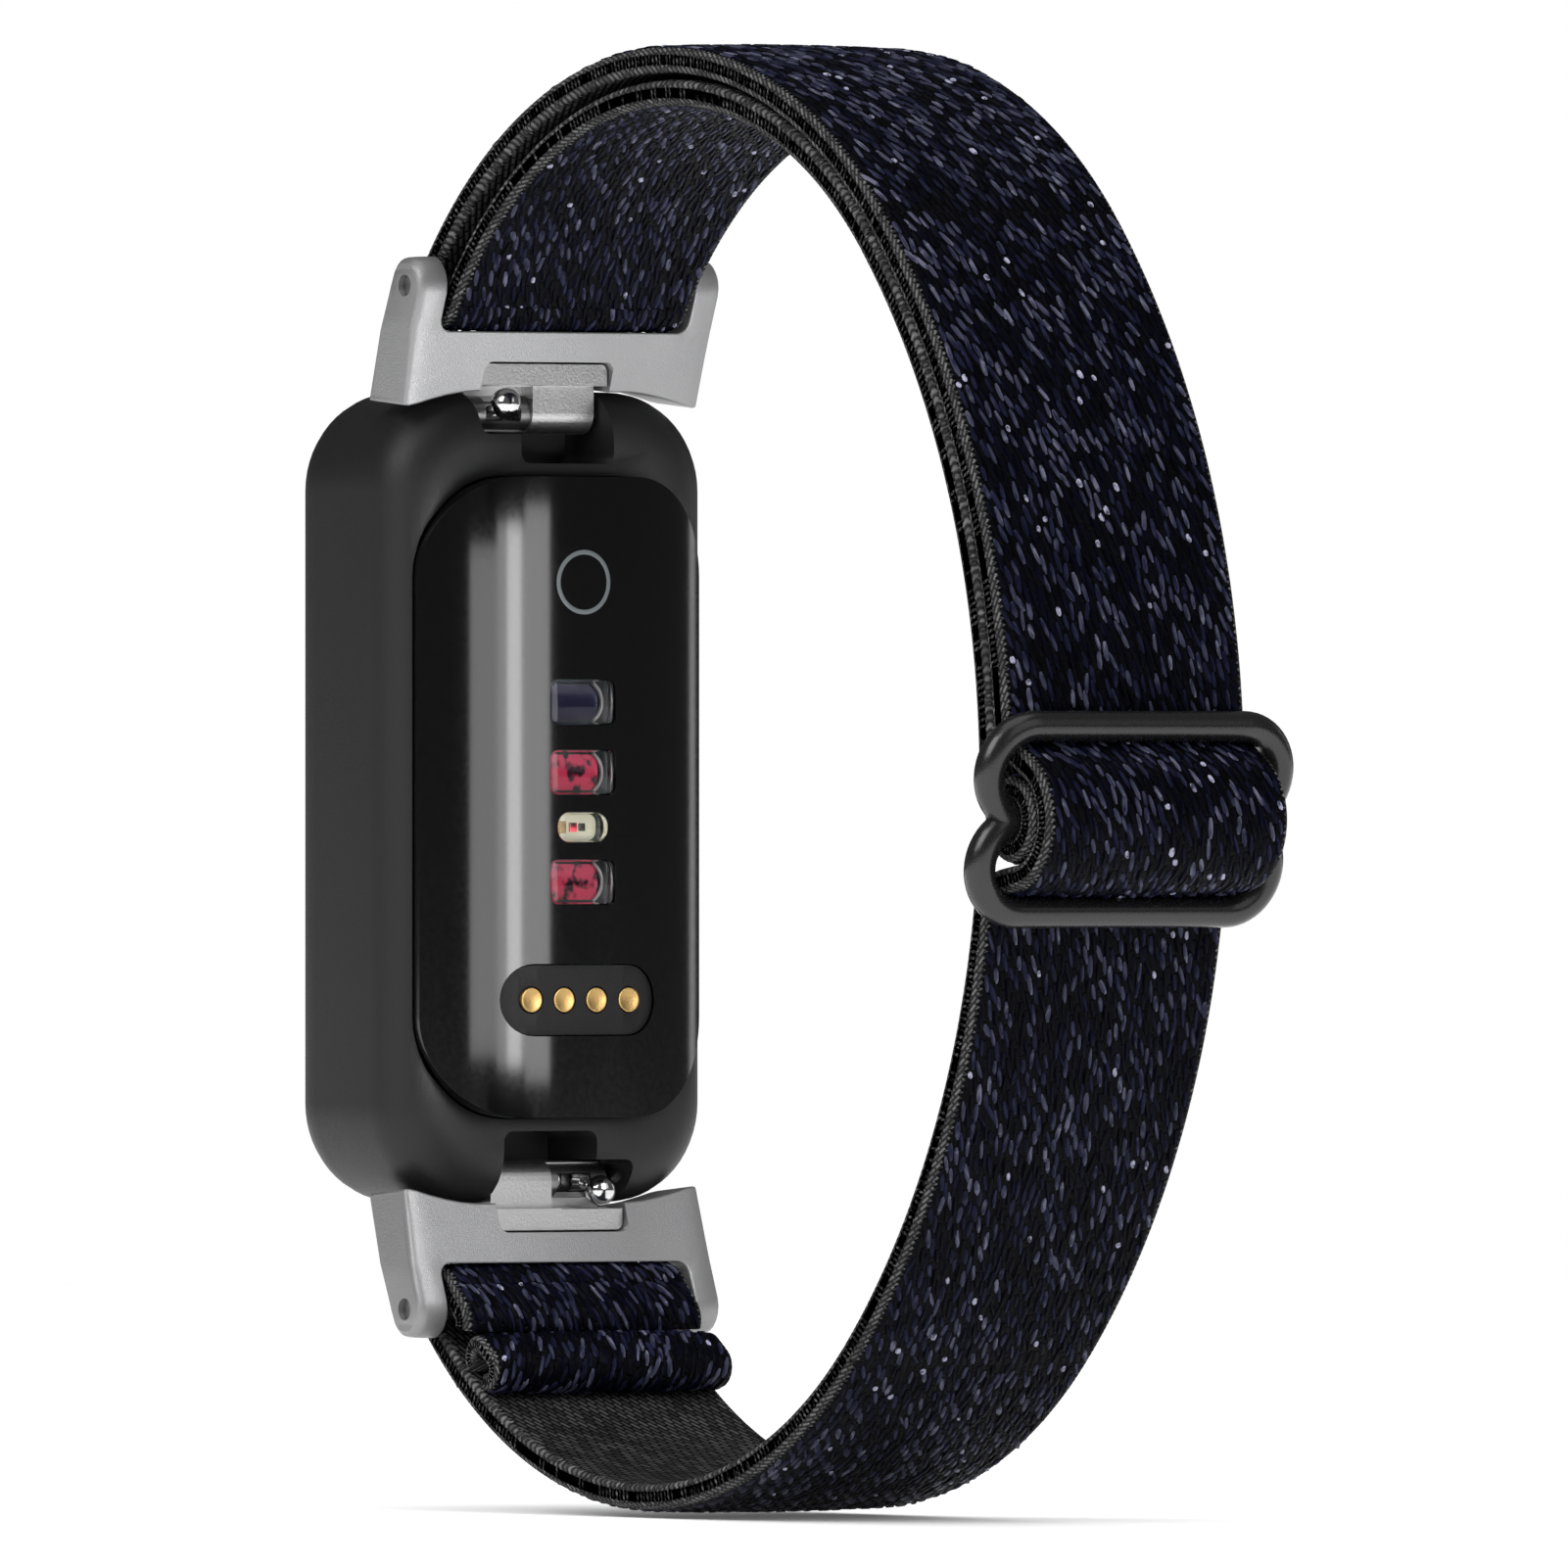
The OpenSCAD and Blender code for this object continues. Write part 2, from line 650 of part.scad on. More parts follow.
// Length of strap that weaves behind, over and behind the slider's bars
module slider_weave() {
    color("#0b0d1e") at_slider() strip(concat(
        arc_run(0, bar_pitch, loop_in + strap_t, 180, 180 + arch_angle, -1, 8),
        arc_run(0, 0, arch_in, arch_angle, -arch_angle, 1, 16),
        arc_run(0, -bar_pitch, loop_in + strap_t, 180 - arch_angle, 180, -1, 8)
    ), weave_w);
}

module sewn_loop() {
    color("#1b1b1d") {
        at_slider() band_arc(0, 0, loop_in, 0, 360, strap_t, weave_w);
        band_arc(flank_x, flank_z, flank_r, slider_angle + 1, slider_angle + slider_span);
    }
}

// ---- assembly ----

case_shell();
front_glass();
front_gasket();
display_panel();
display_flex();
inner_frame();
main_board();
board_chips();
battery_cell();
vibration_motor();
frame_screws();
sensor_board();
red_sensors();
oxygen_sensor();
light_source();
sensor_windows();
light_window();
back_cover();
back_gasket();
charging_insert();
charging_pads();
charging_magnets();
lug();  // upper_lug
tongue();  // upper_tongue
strap_pin();  // upper_strap_pin
bar_tube();  // upper_bar_tube
fixed_tip();  // upper_fixed_tip
bar_spring();  // upper_bar_spring
release();  // upper_release
upper_fold();
lower_end() lug();  // lower_lug
lower_end() tongue();  // lower_tongue
lower_end() strap_pin();  // lower_strap_pin
lower_end() bar_tube();  // lower_bar_tube
lower_end() fixed_tip();  // lower_fixed_tip
lower_end() bar_spring();  // lower_bar_spring
lower_end() release();  // lower_release
lower_fold();
crown_outer();
crown_inner();
keel();
rolled_hem();
flank_outer();
flank_inner();
flank_lower();
slider_frame();
slider_weave();
sewn_loop();
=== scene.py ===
# %% [markdown]
# # A fitness tracker on an elastic band
# The real object is a pebble-shaped tracker held by two metal lugs on a strip of knitted elastic.
# The strip runs from the slider up the inside of the wrist loop, round a pin in the upper lug, back
# over itself, through the slider, and down to the lower lug, where its end is rolled and sewn.
# The design model already fixes every size and joint, so this file only gives the pieces their
# looks. It starts by loading that model, and every place below is worked out from it.

# %% Load the fixed frame
import json
import math

import bmesh
import bpy
import numpy as np
from mathutils import Matrix, Vector


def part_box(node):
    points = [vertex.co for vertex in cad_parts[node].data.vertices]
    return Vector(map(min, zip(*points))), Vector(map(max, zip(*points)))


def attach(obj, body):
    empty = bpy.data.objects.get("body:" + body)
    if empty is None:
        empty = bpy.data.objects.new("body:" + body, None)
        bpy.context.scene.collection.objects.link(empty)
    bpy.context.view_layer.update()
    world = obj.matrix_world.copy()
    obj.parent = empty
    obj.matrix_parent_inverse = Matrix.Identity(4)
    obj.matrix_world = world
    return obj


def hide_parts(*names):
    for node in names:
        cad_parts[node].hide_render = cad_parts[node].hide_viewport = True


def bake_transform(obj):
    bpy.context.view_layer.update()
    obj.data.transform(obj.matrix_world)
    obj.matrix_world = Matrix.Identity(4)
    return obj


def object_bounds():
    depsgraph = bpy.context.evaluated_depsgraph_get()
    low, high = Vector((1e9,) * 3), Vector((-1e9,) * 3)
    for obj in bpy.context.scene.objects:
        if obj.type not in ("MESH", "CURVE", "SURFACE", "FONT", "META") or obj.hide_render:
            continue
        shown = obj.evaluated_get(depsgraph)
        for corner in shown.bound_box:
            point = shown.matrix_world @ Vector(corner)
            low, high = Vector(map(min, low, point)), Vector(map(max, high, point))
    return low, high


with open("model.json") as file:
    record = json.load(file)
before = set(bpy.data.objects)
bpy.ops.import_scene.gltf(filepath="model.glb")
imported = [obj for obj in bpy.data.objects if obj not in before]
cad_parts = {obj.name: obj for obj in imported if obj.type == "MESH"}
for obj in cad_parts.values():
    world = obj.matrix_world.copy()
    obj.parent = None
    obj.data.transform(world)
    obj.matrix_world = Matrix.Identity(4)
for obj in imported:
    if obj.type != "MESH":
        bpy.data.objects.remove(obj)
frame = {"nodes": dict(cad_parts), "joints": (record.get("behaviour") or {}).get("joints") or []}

MM = 0.001
cad_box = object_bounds()
print("design box, mm:", [[round(v / MM, 1) for v in corner] for corner in cad_box])

# %% [markdown]
# ## Camera
# A product shot of a wrist band is taken from far away with a long lens, so that the near and the
# far edge of the strap look equally wide. The camera stands level with the tracker's middle, on
# the sensor side and off to one side, and looks along the loop's own plane at a slant.

# %% Camera
view_azimuth = math.radians(55.8)
camera_distance = 1500 * MM
field_width = 75.9 * MM
aim_point = Vector((-16.9, 9.0, 0.64)) * MM

camera_data = bpy.data.cameras.new("camera")
camera_data.sensor_width = 36
camera_data.lens = camera_data.sensor_width * camera_distance / field_width
camera_data.clip_start = 0.05
camera_data.clip_end = 20
camera = bpy.data.objects.new("camera", camera_data)
bpy.context.collection.objects.link(camera)
back_to_camera = Vector((math.sin(view_azimuth), -math.cos(view_azimuth), 0))
camera.location = aim_point + back_to_camera * camera_distance
camera.rotation_mode = "QUATERNION"
camera.rotation_quaternion = (-back_to_camera).to_track_quat("-Z", "Y")
bpy.context.scene.camera = camera
print("lens", round(camera_data.lens), "mm")

# %% [markdown]
# ## Driving sizes
# The joints and the design's nodes say where the lug's bar, the strap's pin, the flank's centre and
# the slider are. A handful of sizes that a box can't tell, such as the thickness of one layer of
# strap, are named here, in millimetres as a maker would say them.

# %% Driving sizes
def joint_place(name):
    """Place of a hinge in the XZ plane, in millimetres."""
    joint = next(j for j in frame["joints"] if j["name"] == name)
    return joint["pos_m"][0] / MM, joint["pos_m"][2] / MM


def box_mm(node):
    """Lowest and highest corner of a design node, in millimetres."""
    low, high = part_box(node)
    return np.array(low) / MM, np.array(high) / MM


case_low, case_high = box_mm("case_shell")
pin_low, pin_high = box_mm("upper_strap_pin")
slider_low, slider_high = box_mm("slider_frame")
keel_low, keel_high = box_mm("keel")
flank_x, flank_z = joint_place("slider_travel")
bar_x, bar_z = joint_place("upper_lug_pivot")
rim_x = case_high[0]
case_end = case_high[2]
pin_x, pin_z = (pin_low[0] + pin_high[0]) / 2, (pin_low[2] + pin_high[2]) / 2
pin_r = (pin_high[0] - pin_low[0]) / 2
strap_w = keel_high[1] - keel_low[1]
strap_t = 1.25
layer_gap = 0.05
flank_r = 37.0
crown_angle = 43.0
keel_angle = 46.0
wire_d = 1.5
bar_pitch = 4.45
print("pin at", round(pin_x, 2), round(pin_z, 2), "strap width", round(strap_w, 2))

# %% [markdown]
# ## Workshop helpers
# Blender's operators act on whatever is selected, and loading the frame leaves its nodes selected.
# So each step starts by deselecting everything. A finished piece has its place in its mesh and its
# object at the origin, which keeps patterns still when the piece is exported or moved.

# %% Selecting, applying and finishing
def only(piece):
    """Selects one object and makes it active."""
    bpy.ops.object.select_all(action="DESELECT")
    piece.select_set(True)
    bpy.context.view_layer.objects.active = piece
    return piece


def start_edit(piece):
    """Opens one object in edit mode."""
    only(piece)
    bpy.ops.object.mode_set(mode="EDIT")


def end_edit(piece):
    """Goes back to object mode."""
    bpy.ops.object.mode_set(mode="OBJECT")
    return piece


def settle(piece):
    """Moves the object's place, turn and size into its mesh."""
    only(piece)
    bpy.ops.object.transform_apply(location=True, rotation=True, scale=True)
    return piece


def modify(piece, kind, **settings):
    """Adds one modifier and applies it."""
    only(piece)
    modifier = piece.modifiers.new(kind.lower(), kind)
    for key, value in settings.items():
        setattr(modifier, key, value)
    bpy.ops.object.modifier_apply(modifier=modifier.name)
    return piece


def cut(piece, cutter, how="DIFFERENCE"):
    """Cuts one mesh with another and throws the cutter away."""
    modify(piece, "BOOLEAN", object=cutter, operation=how, solver="EXACT")
    bpy.data.objects.remove(cutter)
    return piece


def smooth(piece, degrees=35, flat_faces=False):
    """Shades curved stretches smooth; flat_faces keeps large flats even between their bevels."""
    only(piece)
    bpy.ops.object.shade_smooth_by_angle(angle=math.radians(degrees))
    if flat_faces:
        modify(piece, "WEIGHTED_NORMAL", keep_sharp=True)
    return piece


def join(pieces, name):
    """Joins several objects into the first one and names it."""
    bpy.ops.object.select_all(action="DESELECT")
    for piece in pieces:
        piece.select_set(True)
    bpy.context.view_layer.objects.active = pieces[0]
    if len(pieces) > 1:
        bpy.ops.object.join()
    pieces[0].name = name
    return pieces[0]


def round_off(piece, width, degrees, segments=3):
    """Bevels every edge sharper than an angle."""
    limit = {"limit_method": "ANGLE", "angle_limit": math.radians(degrees)}
    return modify(piece, "BEVEL", width=width * MM, segments=segments, **limit)


def select_faces(piece, chosen):
    """In edit mode, selects the faces for which chosen(normal, centre in millimetres) is true."""
    bpy.ops.mesh.select_mode(type="FACE")
    bpy.ops.mesh.select_all(action="DESELECT")
    shape = bmesh.from_edit_mesh(piece.data)
    for face in shape.faces:
        face.select_set(bool(chosen(face.normal, face.calc_center_median() / MM)))
    bmesh.update_edit_mesh(piece.data)


def runs_along_x(a, b):
    """True for an edge that runs along X."""
    return abs(a[0] - b[0]) > 0.1


def block(name, low, high):
    """A block between two corners given in millimetres."""
    low, high = np.array(low, float), np.array(high, float)
    bpy.ops.object.select_all(action="DESELECT")
    bpy.ops.mesh.primitive_cube_add(size=1, location=Vector((low + high) / 2 * MM))
    piece = bpy.context.active_object
    piece.name = name
    piece.scale = Vector((high - low) * MM)
    return settle(piece)


def rod(name, start, end, radius, sides=64):
    """A round bar between two points given in millimetres."""
    start, end = Vector(start) * MM, Vector(end) * MM
    bpy.ops.object.select_all(action="DESELECT")
    bpy.ops.mesh.primitive_cylinder_add(
        vertices=sides, radius=radius * MM, depth=(end - start).length, location=(start + end) / 2
    )
    piece = bpy.context.active_object
    piece.name = name
    piece.rotation_mode = "QUATERNION"
    piece.rotation_quaternion = (end - start).to_track_quat("Z", "Y")
    return settle(piece)


def bevel_edges(piece, chosen, width, segments=8):
    """Rounds the edges for which chosen(a, b) is true, a and b being their ends in millimetres."""
    start_edit(piece)
    bpy.ops.mesh.select_mode(type="EDGE")
    bpy.ops.mesh.select_all(action="DESELECT")
    shape = bmesh.from_edit_mesh(piece.data)
    for edge in shape.edges:
        a, b = (np.array(v.co) / MM for v in edge.verts)
        edge.select_set(bool(chosen(a, b)))
    bmesh.update_edit_mesh(piece.data)
    bpy.ops.mesh.bevel(offset=width * MM, segments=segments, profile=0.5, affect="EDGES")
    return end_edit(piece)


def pebble(name, low, high, corner, back_edge, front_edge, steps=14):
    """A block with its outline's corners rounded across Y and Z, and then its two rims."""
    piece = block(name, low, high)
    bevel_edges(piece, runs_along_x, corner, steps)
    if back_edge:
        bevel_edges(piece, lambda a, b: min(a[0], b[0]) > high[0] - 0.01, back_edge, 7)
    if front_edge:
        bevel_edges(piece, lambda a, b: max(a[0], b[0]) < low[0] + 0.01, front_edge, 8)
    return piece


def finish_piece(piece, body, slot, replaces=(), paint=None):
    """Paints a piece, hangs it under the empty of the body it moves with, and hides the design nodes it
    stands for.
    """
    piece.data.materials.clear()
    piece.data.materials.append(finishes[paint or slot])
    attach(piece, body)
    if replaces:
        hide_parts(*replaces)
    print(piece.name, "has", len(piece.data.polygons), "faces")


# %% [markdown]
# ## Shared finishes
# Every moulded, blasted or coated surface has a fine grain: its gloss wanders a little, its colour
# is not quite even, and it catches light on tiny bumps. That effect is the same for all of them,
# with other values, so it is a node group. The group only gives out values that change over the
# surface. What is the same all over, such as how metallic a piece is, stays on the shader itself.

# %% Grain group
def new_group(name, inputs, outputs):
    """An empty shader node group with named float, colour or vector sockets."""
    group = bpy.data.node_groups.new(name, "ShaderNodeTree")
    for direction, sockets in (("INPUT", inputs), ("OUTPUT", outputs)):
        for socket_name, kind in sockets:
            group.interface.new_socket(socket_name, in_out=direction, socket_type="NodeSocket" + kind)
    return group, group.nodes.new("NodeGroupInput"), group.nodes.new("NodeGroupOutput")


def set_inputs(node, values):
    """Sets a node's input values by name, where an underscore stands for a space."""
    for key, value in values.items():
        node.inputs[key.replace("_", " ")].default_value = value


def add_node(tree, kind, **values):
    """Adds a shader node to a material's tree or to a group."""
    node = tree.nodes.new("ShaderNode" + kind)
    set_inputs(node, values)
    return node


def make_grain_group():
    group, given, result = new_group(
        "surface_grain",
        [("Colour", "Color"), ("Dark Colour", "Color"), ("Grain Size", "Float"), ("Gloss Low", "Float"),
         ("Gloss High", "Float")],
        [("Colour", "Color"), ("Roughness", "Float"), ("Height", "Float")],
    )
    link = group.links.new
    place = add_node(group, "TexCoord")
    fine = add_node(group, "TexNoise", Detail=4)
    cloud = add_node(group, "TexNoise", Scale=260, Detail=3)
    link(place.outputs["Object"], fine.inputs["Vector"])
    link(place.outputs["Object"], cloud.inputs["Vector"])
    link(given.outputs["Grain Size"], fine.inputs["Scale"])
    tint = add_node(group, "Mix")
    tint.data_type = "RGBA"
    link(cloud.outputs["Fac"], tint.inputs["Factor"])
    link(given.outputs["Dark Colour"], tint.inputs[6])
    link(given.outputs["Colour"], tint.inputs[7])
    gloss = add_node(group, "MapRange", From_Min=0.3, From_Max=0.7)
    link(fine.outputs["Fac"], gloss.inputs["Value"])
    link(given.outputs["Gloss Low"], gloss.inputs["To Min"])
    link(given.outputs["Gloss High"], gloss.inputs["To Max"])
    link(tint.outputs[2], result.inputs["Colour"])
    link(gloss.outputs["Result"], result.inputs["Roughness"])
    link(fine.outputs["Fac"], result.inputs["Height"])
    return group


grain_group = make_grain_group()
print("made group", grain_group.name)


# %% Material maker
finishes = {}  # by name; the design model brings plain materials of the same names


def new_material(name, group=None, **constants):
    """A material with constant values on its shader and, if wanted, one node group beside it."""
    material = finishes[name] = bpy.data.materials.new(name)
    material.use_nodes = True
    tree = material.node_tree
    shader = tree.nodes["Principled BSDF"]
    set_inputs(shader, constants)
    effect = None
    if group:
        effect = add_node(tree, "Group")
        effect.node_tree = group
    return tree, shader, effect


def use_effect(tree, shader, effect, strength, distance):
    """Feeds a group's colour and bumps to the shader."""
    bump = add_node(tree, "Bump", Strength=strength, Distance=distance)
    tree.links.new(effect.outputs["Colour"], shader.inputs["Base Color"])
    tree.links.new(effect.outputs["Height"], bump.inputs["Height"])
    tree.links.new(bump.outputs["Normal"], shader.inputs["Normal"])


def make_finish(name, colour, dark=0.8, rough=(0.4, 0.55), metallic=0.0, grain=9000, depth=0.02, **constants):
    """A material whose colour, gloss and bumps come from the grain group."""
    tree, shader, effect = new_material(name, grain_group, Metallic=metallic, **constants)
    set_inputs(effect, {
        "Colour": (*colour, 1), "Dark Colour": (*(c * dark for c in colour), 1),
        "Grain Size": grain, "Gloss Low": rough[0], "Gloss High": rough[1],
    })
    tree.links.new(effect.outputs["Roughness"], shader.inputs["Roughness"])
    use_effect(tree, shader, effect, depth, 0.0001)
    return tree, shader


make_finish(
    "case_black", (0.0064, 0.0064, 0.0068), 0.8, (0.42, 0.55), grain=14000, depth=0.12,
    Specular_IOR_Level=0.38,
)
make_finish("glass_black", (0.0012, 0.0012, 0.0014), 0.8, (0.09, 0.12), grain=4000, depth=0.0)
make_finish("seal_rubber", (0.03, 0.03, 0.03), rough=(0.6, 0.8))
make_finish("display_dark", (0.01, 0.01, 0.016), 0.8, (0.08, 0.14), depth=0.0)
make_finish("flex_amber", (0.5, 0.2, 0.04), 0.7, (0.3, 0.45))
make_finish("tray_metal", (0.32, 0.32, 0.33), 0.8, (0.35, 0.5), metallic=1.0)
make_finish("board_green", (0.01, 0.1, 0.04), 0.6, (0.3, 0.45))
make_finish("chip_black", (0.015, 0.015, 0.017), 0.8, (0.4, 0.5))
make_finish("battery_foil", (0.5, 0.51, 0.53), 0.8, (0.25, 0.4), metallic=0.9, grain=2500, depth=0.2)
make_finish("motor_steel", (0.55, 0.55, 0.56), 0.85, (0.25, 0.35), metallic=1.0)
make_finish("screw_steel", (0.5, 0.5, 0.52), 0.8, (0.25, 0.4), metallic=1.0)
make_finish("sensor_dark", (0.035, 0.032, 0.075), 0.5, (0.1, 0.2), Coat_Weight=0.5)
make_finish("light_white", (0.62, 0.6, 0.5), 0.85, (0.35, 0.5))
make_finish(
    "insert_black", (0.004, 0.004, 0.0045), 0.7, (0.5, 0.62), grain=12000, depth=0.2,
    Specular_IOR_Level=0.22,
)
make_finish("pad_gold", (0.52, 0.34, 0.13), 0.75, (0.36, 0.5), metallic=1.0, grain=9000, depth=0.1)
make_finish("magnet_nickel", (0.6, 0.6, 0.58), 0.9, (0.12, 0.2), metallic=1.0)
make_finish("lug_silver", (0.28, 0.28, 0.285), 0.86, (0.34, 0.46), metallic=0.65, grain=16000, depth=0.25)
make_finish("tongue_silver", (0.6, 0.6, 0.6), 0.85, (0.28, 0.42), metallic=1.0, grain=9000, depth=0.15)
make_finish("pin_steel", (0.3, 0.3, 0.305), 0.8, (0.3, 0.42), metallic=1.0)
make_finish("spring_steel", (0.35, 0.35, 0.35), 0.8, (0.3, 0.4), metallic=1.0)
make_finish("knob_steel", (0.7, 0.7, 0.7), 0.92, (0.1, 0.16), metallic=1.0, depth=0.02)
make_finish(
    "slider_black", (0.008, 0.008, 0.0085), 0.8, (0.2, 0.3), grain=11000, depth=0.06,
    Coat_Weight=0.2, Coat_Roughness=0.2,
)
make_finish("mark_grey", (0.07, 0.078, 0.082), 0.9, (0.4, 0.5), Specular_IOR_Level=0.3)
print("made", len(finishes), "finishes")


# %% [markdown]
# ### Clear windows and the red sensor
# The sensor windows are clear plastic, so light has to pass. Clear plastic keeps a plain
# transmission weight on the shader. The red package under it isn't an even red: its chip shows as
# dark blotches, so a coarse noise is squeezed into a mask and mixes two reds.

# %% Clear and red finishes
make_finish(
    "window_clear", (0.6, 0.6, 0.66), 0.95, (0.02, 0.04), depth=0.0, Transmission_Weight=1.0, IOR=1.3
)
make_finish(
    "window_pale", (0.95, 0.95, 0.9), 0.95, (0.02, 0.04), depth=0.0, Transmission_Weight=1.0, IOR=1.3
)
red_tree, red_shader = make_finish("sensor_red", (0.42, 0.02, 0.06), 0.8, (0.12, 0.25), Coat_Weight=0.5)
place = add_node(red_tree, "TexCoord")
blotch = add_node(red_tree, "TexNoise", Scale=2100, Detail=1)
ramp = add_node(red_tree, "ValToRGB")
dark_stop, red_stop = ramp.color_ramp.elements
dark_stop.position, dark_stop.color = 0.34, (0.05, 0.004, 0.01, 1)
red_stop.position, red_stop.color = 0.5, (0.95, 0.055, 0.12, 1)
red_tree.links.new(place.outputs["Object"], blotch.inputs["Vector"])
red_tree.links.new(blotch.outputs["Fac"], ramp.inputs["Fac"])
red_tree.links.new(ramp.outputs["Color"], red_shader.inputs["Base Color"])
print("made clear and red finishes")

# %% [markdown]
# ## Pieces that keep their design shape
# The pieces sealed inside the tracker, the sprung bars and pins, and the slider's wire frame
# already have their right shape in the design model, so they stay and only get their finish.

# %% Finishes of the kept nodes
kept = {
    "front_gasket": "seal_rubber", "display_panel": "display_dark", "display_flex": "flex_amber",
    "inner_frame": "tray_metal", "main_board": "board_green", "board_chips": "chip_black",
    "battery_cell": "battery_foil", "vibration_motor": "motor_steel", "frame_screws": "screw_steel",
    "sensor_board": "board_green", "red_sensors": "sensor_red", "oxygen_sensor": "sensor_dark",
    "light_source": "light_white", "back_gasket": "seal_rubber", "charging_magnets": "magnet_nickel",
    "slider_frame": "slider_black",
}
for end in ("upper", "lower"):
    for part in ("strap_pin", "bar_tube", "fixed_tip"):
        kept[f"{end}_{part}"] = "pin_steel"
    kept[f"{end}_bar_spring"] = "spring_steel"
for node_name, finish in kept.items():
    for material_slot in frame["nodes"][node_name].material_slots:
        material_slot.material = finishes[finish]
print("painted", len(kept), "kept nodes")

# %% [markdown]
# ## Case
# The case is one soft-edged moulding. It could be carved from a sphere, but a block whose corners
# are rounded first across the outline and then round both rims gives the same pebble with full
# control of each radius. The openings are then cut out: the seat of the back cover, the seat of
# the front glass, and at each end a stepped pocket that takes the lug's tongue and its knob.

# %% Case shell
case_corner, back_corner, front_corner = 4.8, 4.9, 4.6
back_low, back_high = box_mm("back_cover")
glass_low, glass_high = box_mm("front_glass")
tongue_low, tongue_high = box_mm("upper_tongue")
wall = 1.2
case_piece = pebble("case_body", case_low, (rim_x, case_high[1], case_end), case_corner, 2.6, 2.9)
cavity_half = 14.9
cavity = pebble(
    "cavity",
    (case_low[0] + 2, case_low[1] + wall, -cavity_half),
    (rim_x + 1, case_high[1] - wall, cavity_half),
    case_corner - wall, 0, 0,
)
cut(case_piece, cavity)
back_seat = pebble(
    "back_seat",
    (back_low[0], back_low[1] - 0.06, back_low[2] - 0.06),
    (rim_x + 2, back_high[1] + 0.06, back_high[2] + 0.06),
    back_corner, 0, 0,
)
cut(case_piece, back_seat)
glass_seat = pebble(
    "glass_seat",
    (case_low[0] - 1, glass_low[1] - 0.05, glass_low[2] - 0.05),
    (glass_high[0] + 0.1, glass_high[1] + 0.05, glass_high[2] + 0.05),
    front_corner, 0, 0,
)
cut(case_piece, glass_seat)
print("case body with its seats cut")


# %% End pockets
pocket_depth = 4.3
pocket_left, pocket_right, step_left = -2.2, 3.2, -4.4
pocket_low, step_low = case_end - 3.5, case_end - 2.1


def pocket_cutter(turned):
    """The stepped pocket with round corners, turned half round X for the lower end."""
    floor_x, mouth_x, top = rim_x - pocket_depth, rim_x + 1, case_end + 1
    main = block("pocket", (floor_x, pocket_left, pocket_low), (mouth_x, pocket_right, top))
    bevel_edges(main, lambda a, b: runs_along_x(a, b) and a[2] < case_end, 0.5, 5)
    step = block("step", (floor_x, step_left, step_low), (mouth_x, pocket_left + 0.4, top))
    bevel_edges(step, lambda a, b: runs_along_x(a, b) and a[2] < case_end and a[1] < pocket_left, 0.5, 5)
    cut(main, step, "UNION")
    hole = rod("tip_hole", (bar_x, step_left - 1.1, bar_z), (bar_x, pocket_right + 1.1, bar_z), 0.45, 32)
    cut(main, hole, "UNION")
    if turned:
        main.rotation_euler = (math.pi, 0, 0)
        settle(main)
    return main


for turned in (False, True):
    cut(case_piece, pocket_cutter(turned))
round_off(case_piece, 0.09, 50, 2)
smooth(case_piece, 40)
finish_piece(case_piece, "tracker", "case_black", ["case_shell"])

# %% [markdown]
# ## Glossy covers
# The back cover is bent round the wrist bone's side only, so its outside is part of a cylinder
# along the tracker. Cutting a rounded slab with a large cylinder gives exactly that, and a fine
# bevel round its rim makes the thin streak of light that real polished covers have. The front
# glass is the same with a flatter curve.


# %% Domed slab
def trim_to_dome(piece, centre_x, radius):
    """Keeps what lies inside a large cylinder along the tracker."""
    return cut(piece, rod("dome", (centre_x, 0, -20), (centre_x, 0, 20), radius, 320), "INTERSECT")


def domed_slab(name, low, high, corner, dome_r, apex_x, side):
    """A rounded slab whose face at apex_x is part of a cylinder along Z; side is +1 or -1."""
    slab = pebble(name, low, high, corner, 0, 0, 16)
    return trim_to_dome(slab, apex_x - side * dome_r, dome_r)


def polish_dome(piece, dome_r, apex_x, side):
    """Gives every face of the dome the exact direction of its cylinder, so that it mirrors cleanly."""
    centre = apex_x - side * dome_r
    mesh = piece.data
    directions = [Vector(corner.vector) for corner in mesh.corner_normals]
    for face in mesh.polygons:
        for index in face.loop_indices:
            spot = mesh.vertices[mesh.loops[index].vertex_index].co / MM
            out = Vector((spot.x - centre, spot.y, 0))
            if abs(out.length - dome_r) < 0.02 and face.normal.dot(out.normalized()) > 0.98:
                directions[index] = out.normalized()
    mesh.normals_split_custom_set(directions)


back_dome_r, seam = 16.6, 0.05
back_apex = back_high[0]
back_cover = domed_slab(
    "back_cover_gloss", back_low, (back_apex + 0.5, back_high[1], back_high[2]),
    back_corner - seam, back_dome_r, back_apex, 1,
)
cut(back_cover, block("inside", (back_low[0] - 1, -3, -11.3), (back_apex - 1.15, 3, 11.3)))

# %% Holes for windows and the charging insert
window_w, window_h = 3.8, 2.2
window_z = (4.6, 1.2, -4.1)
light_w, light_h, light_z = 3.0, 1.5, -1.45
charger_w, charger_h, charger_z = 9.0, 3.5, -9.8


def rounded_plug(name, x0, x1, width, height, z, corner, grow=0.0):
    """A rounded block through the cover, for a hole or for what fills it."""
    half_w, half_h = width / 2 + grow, height / 2 + grow
    piece = block(name, (x0, -half_w, z - half_h), (x1, half_w, z + half_h))
    return bevel_edges(piece, runs_along_x, corner, 8)


